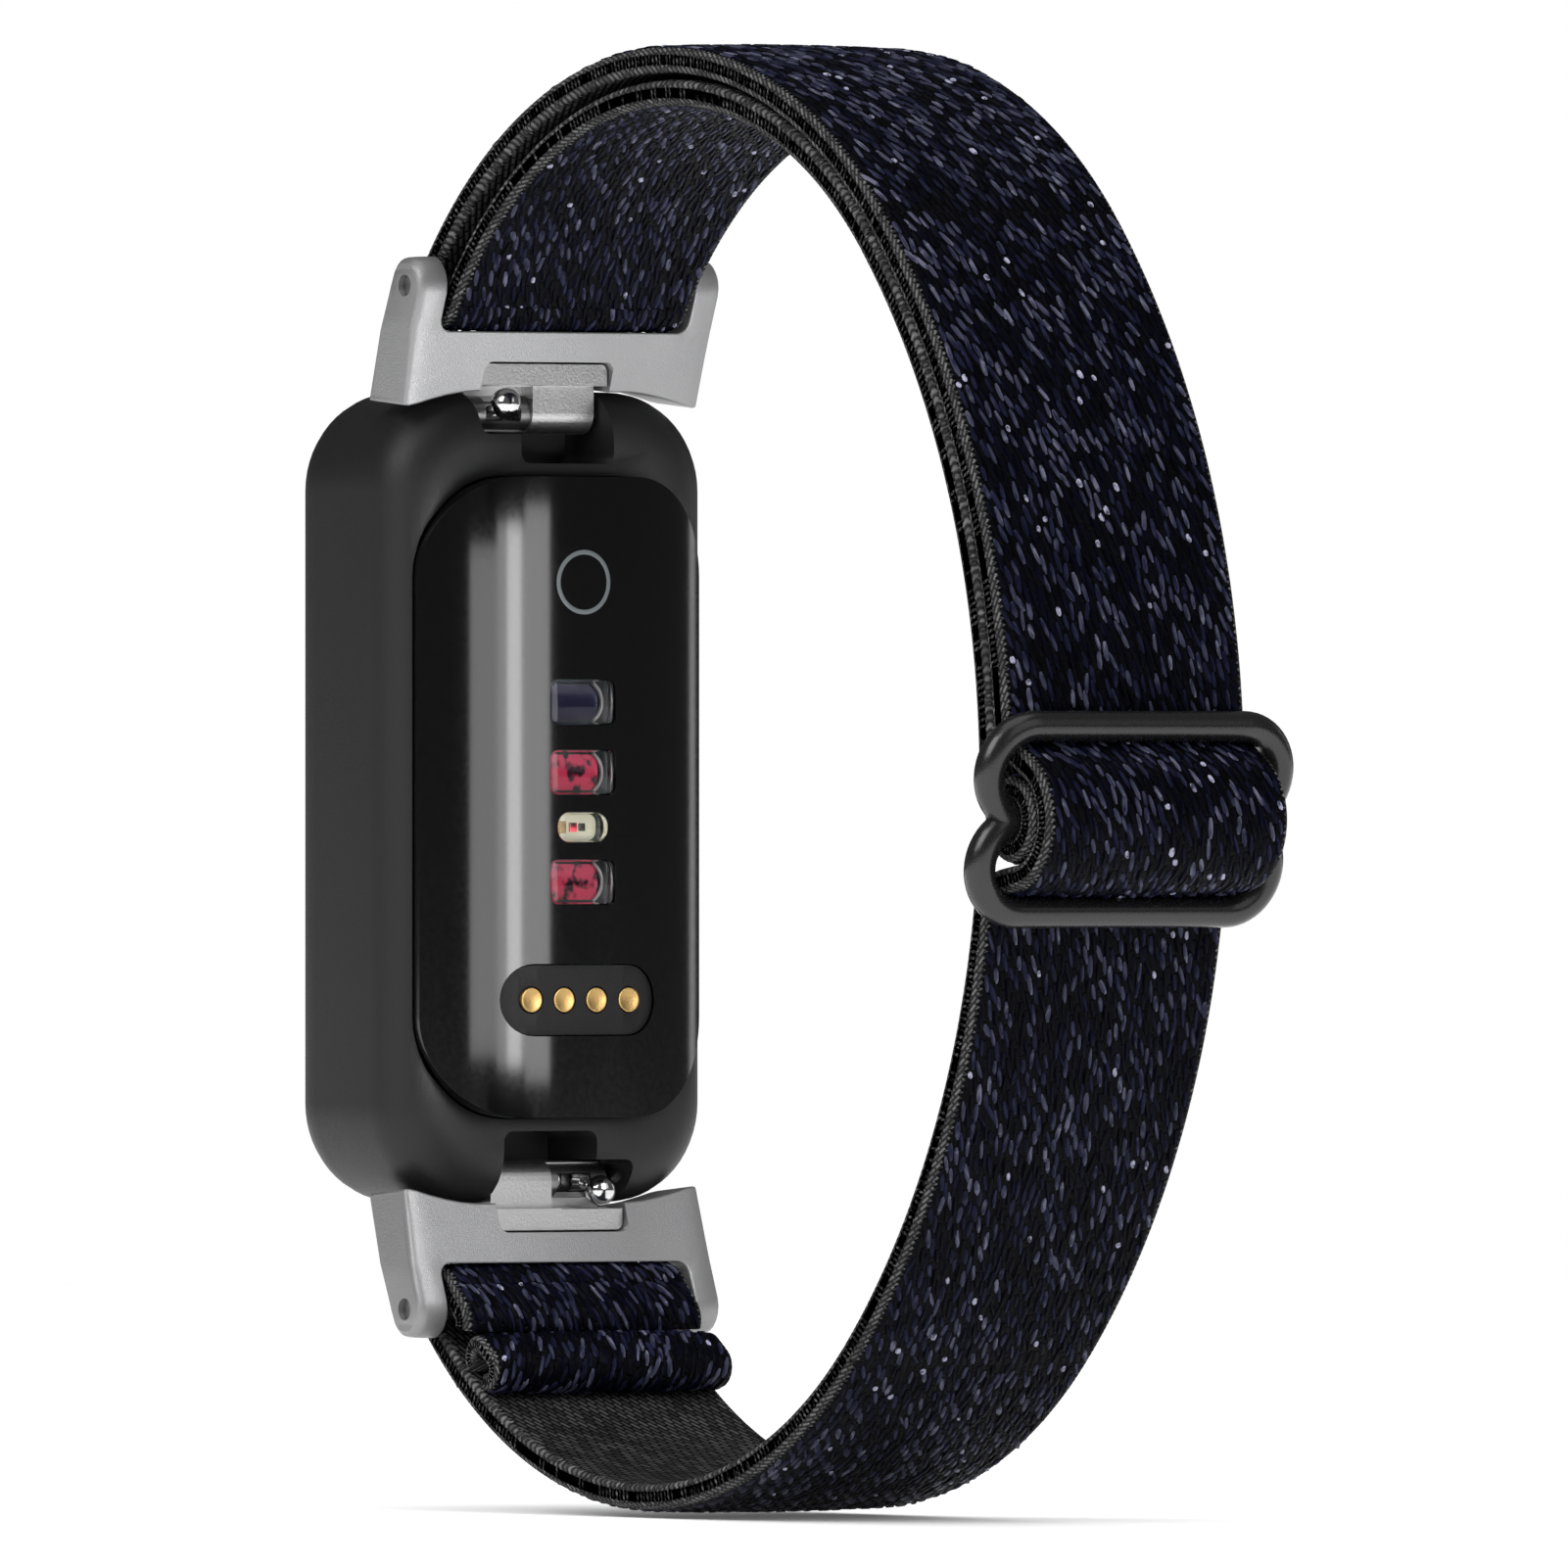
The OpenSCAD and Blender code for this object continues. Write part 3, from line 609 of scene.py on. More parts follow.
holes = [(window_w, window_h, z, 0.45) for z in window_z]
holes += [(light_w, light_h, light_z, 0.7), (charger_w, charger_h, charger_z, 1.74)]
for hole in holes:
    cut(back_cover, rounded_plug("hole", back_low[0] - 1, back_apex + 1, *hole))
round_off(back_cover, 0.13, 35)
smooth(back_cover, 30)
polish_dome(back_cover, back_dome_r, back_apex, 1)
finish_piece(back_cover, "tracker", "glass_black", ["back_cover"])

front_dome_r = 24
front_glass = domed_slab(
    "front_glass_gloss", (glass_low[0] - 0.5, glass_low[1], glass_low[2]), glass_high,
    front_corner - seam, front_dome_r, glass_low[0], -1,
)
cut(front_glass, block("hollow", (glass_low[0] + 1.1, -6.6, -14.3), (glass_high[0] + 1, 6.6, 14.3)))
round_off(front_glass, 0.15, 35)
smooth(front_glass, 30)
polish_dome(front_glass, front_dome_r, glass_low[0], -1)
finish_piece(front_glass, "tracker", "glass_black", ["front_glass"])

# %% [markdown]
# ## Windows, charging insert and mark
# Each window is a clear block that stands flush in its hole, with soft edges that catch a bright
# line. The charging insert is a matte capsule a little below the cover's face, and its four pads
# are turned pins with a dished rim, modelled once and copied. The printed mark on a real tracker
# belongs to its maker, so a plain thin ring takes its place.


# %% Clear windows
def dome_x(y):
    """The back cover's face at a distance y from its middle line."""
    return back_apex - back_dome_r + math.sqrt(back_dome_r**2 - y**2)


def clear_window(name, sizes, corner):
    """One or more clear blocks cut to the cover's curve, joined as one piece."""
    made = []
    for width, height, z in sizes:
        pane = rounded_plug(name, back_apex - 0.85, back_apex + 0.5, width, height, z, corner, -0.04)
        trim_to_dome(pane, back_apex - back_dome_r, back_dome_r - 0.03)
        round_off(pane, 0.14, 35)
        made.append(pane)
    return smooth(join(made, name), 30)


panes = clear_window("window_panes", [(window_w, window_h, z) for z in window_z], 0.4)
finish_piece(panes, "tracker", "window_clear", ["sensor_windows"])
light_pane = clear_window("light_pane", [(light_w, light_h, light_z)], 0.62)
finish_piece(light_pane, "tracker", "window_pale", ["light_window"])

# %% [markdown]
# ### Painted lens highlights
# Each package under the big windows has a round lens whose edge shows a bright curved line. That line is a
# painted highlight: a pale opaque bead along the lens edge. It could be a bent bar, but a ring with its one
# side cut away has the right round at once.

# %% Painted lens highlights
def ring(name, radius, wire, around, across):
    """A ring that stands across the X axis."""
    bpy.ops.object.select_all(action="DESELECT")
    bpy.ops.mesh.primitive_torus_add(
        major_radius=radius * MM, minor_radius=wire * MM, major_segments=around, minor_segments=across,
        rotation=(0, math.pi / 2, 0),
    )
    piece = bpy.context.active_object
    piece.name = name
    return settle(piece)


# A pale half ring at one lens edge, painted white as that lens's highlight.
def lens_highlight_bead(z):
    highlight_bead = ring("lens_highlight_bead", 0.95, 0.085, 40, 10)
    start_edit(highlight_bead)
    bpy.ops.mesh.select_all(action="SELECT")
    bpy.ops.mesh.bisect(plane_co=(0, 0.45 * MM, 0), plane_no=(0, -1, 0), clear_outer=True, use_fill=True)
    end_edit(highlight_bead)
    highlight_bead.data.transform(Matrix.Translation(Vector((back_apex - 1.1, 0.62, z)) * MM))
    return smooth(highlight_bead, 60)


highlight_beads = join([lens_highlight_bead(z) for z in window_z], "lens_highlight_beads")
# The beads take the pale white finish, which paints the highlight on each lens edge.
finish_piece(highlight_beads, "tracker", "window_pale", paint="light_white")

# %% Chips of the light source
face_x = box_mm("light_source")[1][0]
for chip_name, chip_y, chip_half, chip_paint in (
    ("pale_chip", -0.62, 0.26, "pad_gold"),
    ("red_chip", 0.02, 0.2, "sensor_red"),
    ("dark_chip", 0.5, 0.17, "chip_black"),
):
    chip = block(
        chip_name,
        (face_x - 0.05, chip_y - chip_half, light_z - chip_half),
        (face_x + 0.09, chip_y + chip_half, light_z + chip_half),
    )
    modify(chip, "BEVEL", width=0.03 * MM, segments=2)
    finish_piece(smooth(chip), "tracker", "chip_black", paint=chip_paint)

# %% Charging insert and pads
insert_face = back_apex - 0.33
insert = rounded_plug("charging_capsule", rim_x, insert_face, charger_w, charger_h, charger_z, 1.66, -0.06)
trim_to_dome(insert, back_apex - 0.15 - back_dome_r, back_dome_r)
pad_pitch, pad_r = 1.88, 0.6
pad_places = [(i - 1.5) * pad_pitch for i in range(4)]
for y in pad_places:
    cut(insert, rod("pad_hole", (rim_x - 1, y, charger_z), (back_apex + 1, y, charger_z), pad_r + 0.06, 40))
round_off(insert, 0.1, 35)
smooth(insert, 30, flat_faces=True)
finish_piece(insert, "tracker", "insert_black", ["charging_insert"])


def make_pad():
    """One charging pad: a turned pin with a bevelled rim and a shallow dish."""
    pad = rod("charging_pad", (rim_x + 0.1, 0, charger_z), (insert_face + 0.02, 0, charger_z), pad_r, 40)
    start_edit(pad)
    select_faces(pad, lambda normal, centre: normal.x > 0.9)
    bpy.ops.mesh.inset(thickness=0.09 * MM)
    bpy.ops.mesh.inset(thickness=0.1 * MM, depth=-0.05 * MM)
    end_edit(pad)
    round_off(pad, 0.05, 50)
    return smooth(pad, 40)


def copies_joined(piece, offsets, name):
    """Copies a piece to each offset, in millimetres, and joins the copies into one mesh."""
    made = []
    for offset in offsets:
        copy = piece.copy()
        copy.data = piece.data.copy()
        copy.data.transform(Matrix.Translation(Vector(offset) * MM))
        bpy.context.collection.objects.link(copy)
        made.append(copy)
    bpy.data.objects.remove(piece)
    return join(made, name)


pads = copies_joined(make_pad(), [(0, y, 0) for y in pad_places], "gold_pads")
finish_piece(pads, "tracker", "pad_gold", ["charging_pads"])

# %% Plain ring mark
mark_r, mark_z, mark_wire = 1.45, 10.4, 0.11
mark = ring("ring_mark", mark_r, mark_wire, 72, 8)
for vertex in mark.data.vertices:
    y = vertex.co.y / MM
    vertex.co.x = (dome_x(y) + vertex.co.x / MM * 0.15 + 0.003) * MM
    vertex.co.z += mark_z * MM
smooth(mark, 60)
finish_piece(mark, "tracker", "glass_black", paint="mark_grey")

# %% [markdown]
# ## Lugs
# A lug is a small blasted casting: a foot that follows the case, a beam, and two ears that lean
# towards the wrist and hold the strap's pin. It is built as by hand: a block is split by planes
# where the strap's slot begins, its two outer top faces are pulled up into ears in a few steps,
# and the rest is rounding. The inlay's seat and the holes of the pin are cut afterwards.
# The lower lug is the same casting turned half round.

# %% Lug casting
foot_gap, foot_depth, ear_t, ear_r = 0.25, 3.4, 1.6, 1.45
foot_z = case_end + foot_gap
foot_front, foot_back = rim_x - 0.6 - foot_depth, rim_x - 0.6
slot_half = (strap_w + 0.5) / 2
lug_half = slot_half + ear_t
beam_top = foot_z + 2.62
front_turn, back_turn = pin_z + 0.31 * ear_r, pin_z - 0.28 * ear_r


def lug_front(z):
    """Front of the lug's side outline: a lean, then the round of the ear."""
    if z > front_turn:
        return pin_x - math.sqrt(max(0, ear_r**2 - (z - pin_z) ** 2))
    return foot_front + (pin_x - 0.95 * ear_r - foot_front) * (z - foot_z) / (front_turn - foot_z)


def lug_back(z):
    """Back of the lug's side outline."""
    if z > back_turn:
        return pin_x + math.sqrt(max(0, ear_r**2 - (z - pin_z) ** 2))
    return foot_back + (pin_x + 0.96 * ear_r - foot_back) * (z - foot_z) / (back_turn - foot_z)


def shape_section(old_z, new_z):
    """Moves and narrows the selected section so that it fits the outline at its new height."""
    old_mid, new_mid = (lug_front(old_z) + lug_back(old_z)) / 2, (lug_front(new_z) + lug_back(new_z)) / 2
    ratio = (lug_back(new_z) - lug_front(new_z)) / (lug_back(old_z) - lug_front(old_z))
    bpy.ops.transform.resize(value=(ratio, 1, 1))
    bpy.ops.transform.translate(value=((new_mid - old_mid) * MM, 0, 0))


def make_lug():
    lug = block("lug_casting", (foot_front, -lug_half, foot_z), (foot_back, lug_half, beam_top))
    start_edit(lug)
    select_faces(lug, lambda normal, centre: normal.z > 0.9)
    shape_section(foot_z, beam_top)
    for cut_y in (4.4, 5.3, 6.2, slot_half, lug_half - 0.95, lug_half - 0.5, lug_half - 0.2):
        for side in (-1, 1):
            bpy.ops.mesh.select_all(action="SELECT")
            bpy.ops.mesh.bisect(plane_co=(0, side * cut_y * MM, 0), plane_no=(0, 1, 0))
    for side in (-1, 1):
        select_faces(lug, lambda normal, centre: normal.z > 0.9 and centre.y * side > slot_half)
        height = beam_top
        for new_height in (23.3, back_turn, pin_z, front_turn, 25.5, 25.78, 25.98, 26.1):
            rise = (0, 0, (new_height - height) * MM)
            bpy.ops.mesh.extrude_region_move(TRANSFORM_OT_translate={"value": rise})
            shape_section(height, new_height)
            height = new_height
    shape = bmesh.from_edit_mesh(lug.data)
    for vertex in shape.verts:
        if vertex.co.z < (foot_z + 0.01) * MM:
            drop = 0.95 * max(0, (abs(vertex.co.y) / MM - 4.4) / (lug_half - 4.4)) ** 1.6
            lip = 0.28 if vertex.co.x > (foot_back - 0.1) * MM else 0
            vertex.co.z -= (drop + lip) * MM
        inset = lug_half - abs(vertex.co.y) / MM
        if inset < 0.94:
            z = max(foot_z, vertex.co.z / MM)
            middle = (lug_front(z) + lug_back(z)) / 2 * MM
            roundness = 1 - math.sqrt(max(0, 1 - ((0.95 - inset) / 0.95) ** 2)) ** 0.8
            vertex.co.x = middle + (vertex.co.x - middle) * (1 - 0.27 * roundness)
            vertex.co.z -= 0.34 * roundness * max(0, (z - pin_z) / ear_r) * MM
            if vertex.co.z < (foot_z + 0.01) * MM:
                vertex.co.z += 0.55 * roundness * MM
                vertex.co.y -= math.copysign(0.3 * roundness * MM, vertex.co.y)
    bmesh.update_edit_mesh(lug.data)
    end_edit(lug)
    bevel_edges(lug, lambda a, b: is_slot_corner(a) and is_slot_corner(b) and abs(a[0] - b[0]) > 1, 0.6, 6)
    round_off(lug, 0.42, 48, 4)
    seat_y = (tongue_low[1] - 0.1, tongue_high[1] + 0.1)
    seat = block(
        "inlay_seat", (foot_front + 0.62, seat_y[0], foot_z - 1), (rim_x + 2, seat_y[1], foot_z + 1.16)
    )
    bevel_edges(seat, lambda a, b: runs_along_x(a, b) and min(a[2], b[2]) > foot_z, 0.45, 5)
    cut(lug, seat)
    cut(lug, rod("pin_hole", (pin_x, -lug_half - 1, pin_z), (pin_x, lug_half + 1, pin_z), pin_r + 0.03, 48))
    return smooth(lug, 38, flat_faces=True)


def is_slot_corner(point):
    """True at the bottom corners of the strap's slot."""
    return abs(abs(point[1]) - slot_half) < 0.01 and abs(point[2] - beam_top) < 0.01


def both_ends(piece, node, name, body, slot):
    """Finishes a piece at the upper end and its copy, turned half round, at the lower end."""
    twin = piece.copy()
    twin.data = piece.data.copy()
    twin.data.transform(Matrix.Rotation(math.pi, 4, "X"))
    bpy.context.collection.objects.link(twin)
    for end, part in (("upper", piece), ("lower", twin)):
        part.name = f"{end}_{name}"
        finish_piece(part, f"{end}_{body}", slot, [f"{end}_{node}"])


both_ends(make_lug(), "lug", "lug_casting", "lug", "lug_silver")

# %% [markdown]
# ### Tongue and release knob
# A stamped tongue hooks over the sprung bar and is let into the lug as a flush plate. It is a plate,
# a web and a barrel joined into one, with a bay cut out of it in which the knob slides. The release
# is a turned rod with a short stem and a polished ball for the fingernail.


# %% Tongues
release_low, release_high = box_mm("upper_release")
barrel_r, tube_r, knob_r, knob_travel = 1.0, 0.8, 0.75, 1.3
knob_x, knob_z = release_high[0] - knob_r, release_high[2] - knob_r
knob_y = step_left + 1.65


def make_tongue():
    left, right = tongue_low[1], tongue_high[1]
    plate = block(
        "tongue", (rim_x - foot_depth + 0.1, left, foot_z + 0.02), (rim_x - 0.63, right, foot_z + 1.06)
    )
    bevel_edges(plate, lambda a, b: runs_along_x(a, b) and min(a[2], b[2]) > foot_z + 0.5, 0.38, 5)
    web = block("web", (bar_x - barrel_r, left + 0.2, bar_z), (bar_x + barrel_r, right - 0.2, foot_z + 0.4))
    cut(plate, web, "UNION")
    cut(plate, rod("barrel", (bar_x, left + 0.2, bar_z), (bar_x, right - 0.2, bar_z), barrel_r), "UNION")
    cut(plate, rod("bore", (bar_x, left - 1, bar_z), (bar_x, right + 1, bar_z), tube_r + 0.02))
    bay_left, bay_right = knob_y - knob_r - 0.5, knob_y + knob_r + knob_travel + 0.15
    cut(plate, block("bay", (bar_x, bay_left, bar_z - 0.9), (rim_x + 1, bay_right, foot_z - 0.02)))
    notch_top = knob_z + knob_r + 0.15
    cut(plate, block("notch", (bar_x + 0.8, bay_left, foot_z - 0.1), (rim_x + 1, bay_right, notch_top)))
    round_off(plate, 0.07, 50, 2)
    return smooth(plate, 38, flat_faces=True)


def make_release():
    release = rod("release", (bar_x, release_low[1], bar_z), (bar_x, knob_y, bar_z), 0.4, 40)
    shaft_ends = (bar_x, tongue_low[1] + 0.35, bar_z), (bar_x, knob_y + 0.63, bar_z)
    cut(release, rod("shaft", *shaft_ends, 0.5, 40), "UNION")
    cut(release, rod("stem", (bar_x, knob_y, bar_z), (knob_x, knob_y, knob_z), 0.28, 32), "UNION")
    round_off(release, 0.08, 60)
    bpy.ops.object.select_all(action="DESELECT")
    bpy.ops.mesh.primitive_uv_sphere_add(
        segments=48, ring_count=24, radius=knob_r * MM, location=Vector((knob_x, knob_y, knob_z)) * MM
    )
    ball = settle(bpy.context.active_object)
    cut(release, ball, "UNION")
    return smooth(release, 40)


both_ends(make_tongue(), "tongue", "tongue_piece", "lug", "tongue_silver")
both_ends(make_release(), "release", "release_piece", "release", "knob_steel")

# %% [markdown]
# ## Route of the strap
# The strap is a flat strip, so it is cut flat first and then laid along a route, as on the bench.
# A route is a line in the XZ plane for the strip's black back, and at each point the direction of
# its woven face. It is put together from arcs: the flat flank on the slider's side, a rounder
# crown above and a keel below, and half turns round the pins and the slider's bars.


# %% Arcs and routes
def arc(cx, cz, radius, start, end, side):
    """Points of an arc about every 0.15 mm, with the direction of the woven face."""
    steps = max(4, int(abs(math.radians(end - start)) * max(radius, 0.4) / 0.15))
    turn = np.radians(np.linspace(start, end, steps))
    out = np.stack([np.cos(turn), np.sin(turn)], 1)
    return np.hstack([np.array([cx, cz]) + radius * out, side * out])


def joined(*runs, face_at=strap_t):
    """One route from several runs, its length measured along the strip's woven face."""
    points = np.vstack(runs)
    step = np.linalg.norm(np.diff(points[:, :2] + face_at * points[:, 2:], axis=0), axis=1)
    length = np.concatenate([[0], np.cumsum(step)])
    keep = np.concatenate([[True], step > 1e-6])
    length, points = length[keep], points[keep]
    even = np.linspace(0, length[-1], int(length[-1] / 0.1))
    route = np.stack([np.interp(even, length, points[:, i]) for i in range(4)], 1)
    tangent = np.gradient(route[:, :2], axis=0)
    facing = np.stack([-tangent[:, 1], tangent[:, 0]], 1) + 1e-9 * route[:, 2:]
    facing *= np.sign(np.sum(facing * route[:, 2:], axis=1))[:, None]
    padded = np.pad(facing / np.linalg.norm(facing, axis=1)[:, None], ((2, 2), (0, 0)), mode="edge")
    route[:, 2:] = sum(padded[i:i + len(even)] for i in range(5))
    route[:, 2:] /= np.linalg.norm(route[:, 2:], axis=1)[:, None]
    return even, route


def loose_turn(cz, start, end, away):
    """The turn round a strap pin, which hangs a little off the pin towards the lug's beam."""
    turn = arc(pin_x, cz, wrap_r, start, end, 1)
    turn[:, 1] += away * 0.35 * np.sin(np.linspace(0, math.pi, len(turn)))
    return turn


def end_arc(big_r, angle, target_x, target_z, miss):
    """Centre, radius and last angle of the arc that leaves the flank and passes a pin."""
    ux, uz = math.cos(math.radians(angle)), math.sin(math.radians(angle))
    qx, qz = target_x - flank_x - big_r * ux, target_z - flank_z - big_r * uz
    radius = (qx * qx + qz * qz - miss * miss) / (2 * (miss - qx * ux - qz * uz))
    cx, cz = flank_x + (big_r - radius) * ux, flank_z + (big_r - radius) * uz
    return cx, cz, radius, math.degrees(math.atan2(target_z - cz, target_x - cx))


wrap_r = pin_r + 0.05
outer_r = flank_r + strap_t + layer_gap
inner_crown = end_arc(flank_r, crown_angle, pin_x, pin_z, strap_t + wrap_r)
outer_crown = end_arc(outer_r, crown_angle, pin_x, pin_z, -wrap_r)
keel_arc = end_arc(flank_r, -keel_angle, pin_x, -pin_z, -wrap_r)
print("crown radius", round(inner_crown[2], 2), "keel radius", round(keel_arc[2], 2))

# %% Slider's place
middle_x, middle_z = (slider_low[0] + slider_high[0]) / 2, (slider_low[2] + slider_high[2]) / 2
slider_angle = math.degrees(math.atan2(middle_z - flank_z, middle_x - flank_x))
upper_bar_r = outer_r + strap_t + 0.05 + wire_d / 2
lower_bar_r = flank_r + strap_t + 0.05 + wire_d / 2
slider_tilt = math.degrees(math.atan((upper_bar_r - lower_bar_r) / (2 * bar_pitch)))
slider_turn = slider_angle - slider_tilt
loop_in = wire_d / 2 + 0.05
arch_in = loop_in + strap_t + 0.1
arch_angle = math.degrees(math.asin((loop_in + arch_in + strap_t) / bar_pitch))


def slider_arc(z, radius, start, end, side):
    """An arc round one of the slider's bars; z is the bar's place along the slider."""
    turn = math.radians(slider_turn)
    cx = middle_x - z * math.sin(turn)
    cz = middle_z + z * math.cos(turn)
    return arc(cx, cz, radius, start + slider_turn, end + slider_turn, side)


print("slider at", round(slider_angle, 2), "degrees on the flank, tilted", round(slider_tilt, 2))

# %% The five lengths of the strap
inner_x, inner_z, inner_crown_r, inner_end = inner_crown
outer_x, outer_z, outer_crown_r, outer_end = outer_crown
keel_x, keel_z, keel_r, keel_end = keel_arc
bar_span = 6.3

inner_flank_route = joined(
    slider_arc(0, loop_in, 175, -95, 1),
    slider_arc(0, loop_in, -95, -165, 1),
    arc(flank_x, flank_z, flank_r + strap_t, slider_angle + 2.6, crown_angle, -1),
)
upper_route = joined(
    arc(inner_x, inner_z, inner_crown_r + strap_t, crown_angle, inner_end, -1),
    loose_turn(pin_z, inner_end + 180, outer_end, -1),
    arc(outer_x, outer_z, outer_crown_r, outer_end, crown_angle, 1),
)
outer_flank_route = joined(
    arc(flank_x, flank_z, outer_r, crown_angle, slider_angle + bar_span, 1),
    slider_arc(bar_pitch, loop_in + strap_t, 184, 180 + arch_angle, -1),
    slider_arc(0, arch_in, arch_angle, -arch_angle, 1),
    slider_arc(-bar_pitch, loop_in + strap_t, 180 - arch_angle, 176, -1),
)
lower_flank_route = joined(
    arc(flank_x, flank_z, flank_r, slider_angle - bar_span, -keel_angle, 1),
)
tail_turn, tuck_r = 3.2, keel_r - 2 * wrap_r + 0.15
tuck_x = keel_x + tuck_r * math.cos(math.radians(keel_end + tail_turn))
tuck_z = keel_z + tuck_r * math.sin(math.radians(keel_end + tail_turn))
lower_route = joined(
    arc(keel_x, keel_z, keel_r, -keel_angle, keel_end, 1),
    loose_turn(-pin_z, keel_end, keel_end - 180, 1),
    arc(keel_x, keel_z, keel_r - 2 * wrap_r, keel_end, keel_end + tail_turn, -1),
    arc(tuck_x, tuck_z, 0.15, keel_end + tail_turn + 180, keel_end + tail_turn + 105, 1),
)
for route in (inner_flank_route, upper_route, outer_flank_route, lower_flank_route, lower_route):
    print("a length of", round(route[0][-1], 1), "mm")

# %% [markdown]
# ## Webbing
# Knitted elastic has a face of flat slanted stitches in a shiny yarn over a black ground, and a
# plain black back that shows at the cut edges. A picture of a weave would slide and blur, so the
# stitches are real: one stitch is modelled as a pinched bar, and rows of copies are laid on the
# flat strip with a little disorder. Each copy carries its own tone, which the material reads.
# The strip and its stitches are then wrapped along the route together.


# %% One flat strip
def flat_strip(name, length, width, thickness):
    """A flat strip along X with rounded long edges, its back at height 0, and a UV map in millimetres."""
    across, along = 16, max(8, int(length / 0.3))
    bpy.ops.object.select_all(action="DESELECT")
    bpy.ops.mesh.primitive_grid_add(x_subdivisions=along, y_subdivisions=across, size=1)
    strip = bpy.context.active_object
    strip.name = name
    strip.scale = (length, width - 0.1, 1)
    strip.location = (length / 2, 0, 0)
    settle(strip)
    modify(strip, "SOLIDIFY", thickness=thickness, offset=1.0, use_rim=True)
    bevel_edges(
        strip,
        lambda a, b: abs(a[1] - b[1]) < 1e-3 and abs(abs(a[1]) * MM - (width - 0.1) / 2) < 1e-3,
        thickness * 0.3 / MM, 3,
    )
    uv = strip.data.uv_layers.active.data
    for loop in strip.data.loops:
        spot = strip.data.vertices[loop.vertex_index].co
        uv[loop.index].uv = (spot.x, spot.y + spot.z)
    return strip


# %% One stitch, modelled once
def make_stitch():
    """A bar 1 long and 1 wide along X, its ends drawn in and its top crowned."""
    bpy.ops.object.select_all(action="DESELECT")
    bpy.ops.mesh.primitive_cube_add(size=1)
    stitch = bpy.context.active_object
    stitch.scale = (0.5, 1, 1)
    settle(stitch)
    start_edit(stitch)
    for side in (-1, 1):
        select_faces(stitch, lambda normal, centre: normal.x * side > 0.9)
        bpy.ops.mesh.extrude_region_move(TRANSFORM_OT_translate={"value": (side * 0.25, 0, -0.12)})
        bpy.ops.transform.resize(value=(1, 0.35, 0.5))
    select_faces(stitch, lambda normal, centre: normal.z > 0.9 and abs(centre.x) < 0.1 / MM)
    bpy.ops.transform.resize(value=(0.9, 0.5, 1))
    end_edit(stitch)
    points = np.array([v.co for v in stitch.data.vertices])
    faces = [tuple(f.vertices) for f in stitch.data.polygons]
    bpy.data.objects.remove(stitch)
    return points, faces


stitch_points, stitch_faces = make_stitch()
print("one stitch has", len(stitch_faces), "faces")

# %% Rows of stitches on a flat strip
stitch_pitch, stitch_step, stitch_slant = 0.41, 0.92, 15.0


def lay_stitches(name, length, width, height, seed):
    """Copies the stitch in staggered columns over a flat strip, each with its own tone."""
    rng = np.random.default_rng(seed)
    columns = int((width - 0.5) / stitch_pitch)
    rows = int(length / stitch_step) + 1
    col, row = np.meshgrid(np.arange(columns), np.arange(rows), indexing="ij")
    col, row = col.ravel(), row.ravel()
    count = len(col)
    x = (row + 0.5 * (col % 2) + rng.normal(0, 0.09, count)) * stitch_step
    y = (col - (columns - 1) / 2) * stitch_pitch + rng.normal(0, 0.035, count)
    inside = (x > 0.35) & (x < length - 0.35)
    x, y = x[inside], y[inside]
    count = len(x)
    glitter = rng.random(count) < 0.022
    long = stitch_step * np.where(glitter, rng.uniform(0.3, 0.5, count), rng.uniform(0.75, 1.2, count))
    wide = stitch_pitch * rng.uniform(0.5, 0.86, count)
    tall = rng.uniform(0.07, 0.15, count)
    turn = np.radians(stitch_slant + rng.normal(0, 8, count))
    p = stitch_points[None] * np.stack([long, wide, tall], 1)[:, None]
    px = x[:, None] + p[..., 0] * np.cos(turn)[:, None] - p[..., 1] * np.sin(turn)[:, None]
    py = y[:, None] + p[..., 0] * np.sin(turn)[:, None] + p[..., 1] * np.cos(turn)[:, None]
    pz = height + p[..., 2] + 0.02
    mesh = bpy.data.meshes.new(name)
    size = len(stitch_points)
    faces = [tuple(i + size * k for i in face) for k in range(count) for face in stitch_faces]
    mesh.from_pydata(np.stack([px, py, pz], -1).reshape(-1, 3).tolist(), [], faces)
    tone = np.where(rng.random(count) < 0.45, rng.uniform(0.0, 0.35, count), rng.uniform(0.4, 0.85, count))
    tone = np.where(glitter, 1.0, tone)
    brightest = np.where(glitter, 1, 0.84)[:, None]
    tones = np.clip(tone[:, None] * rng.uniform(0.72, 1.2, (count, size)), 0, brightest)
    attribute = mesh.attributes.new("yarn_tone", "FLOAT", "POINT")
    attribute.data.foreach_set("value", tones.ravel().astype(np.float32))
    mesh.uv_layers.new(name="UVMap")
    piece = bpy.data.objects.new(name, mesh)
    bpy.context.collection.objects.link(piece)
    return piece
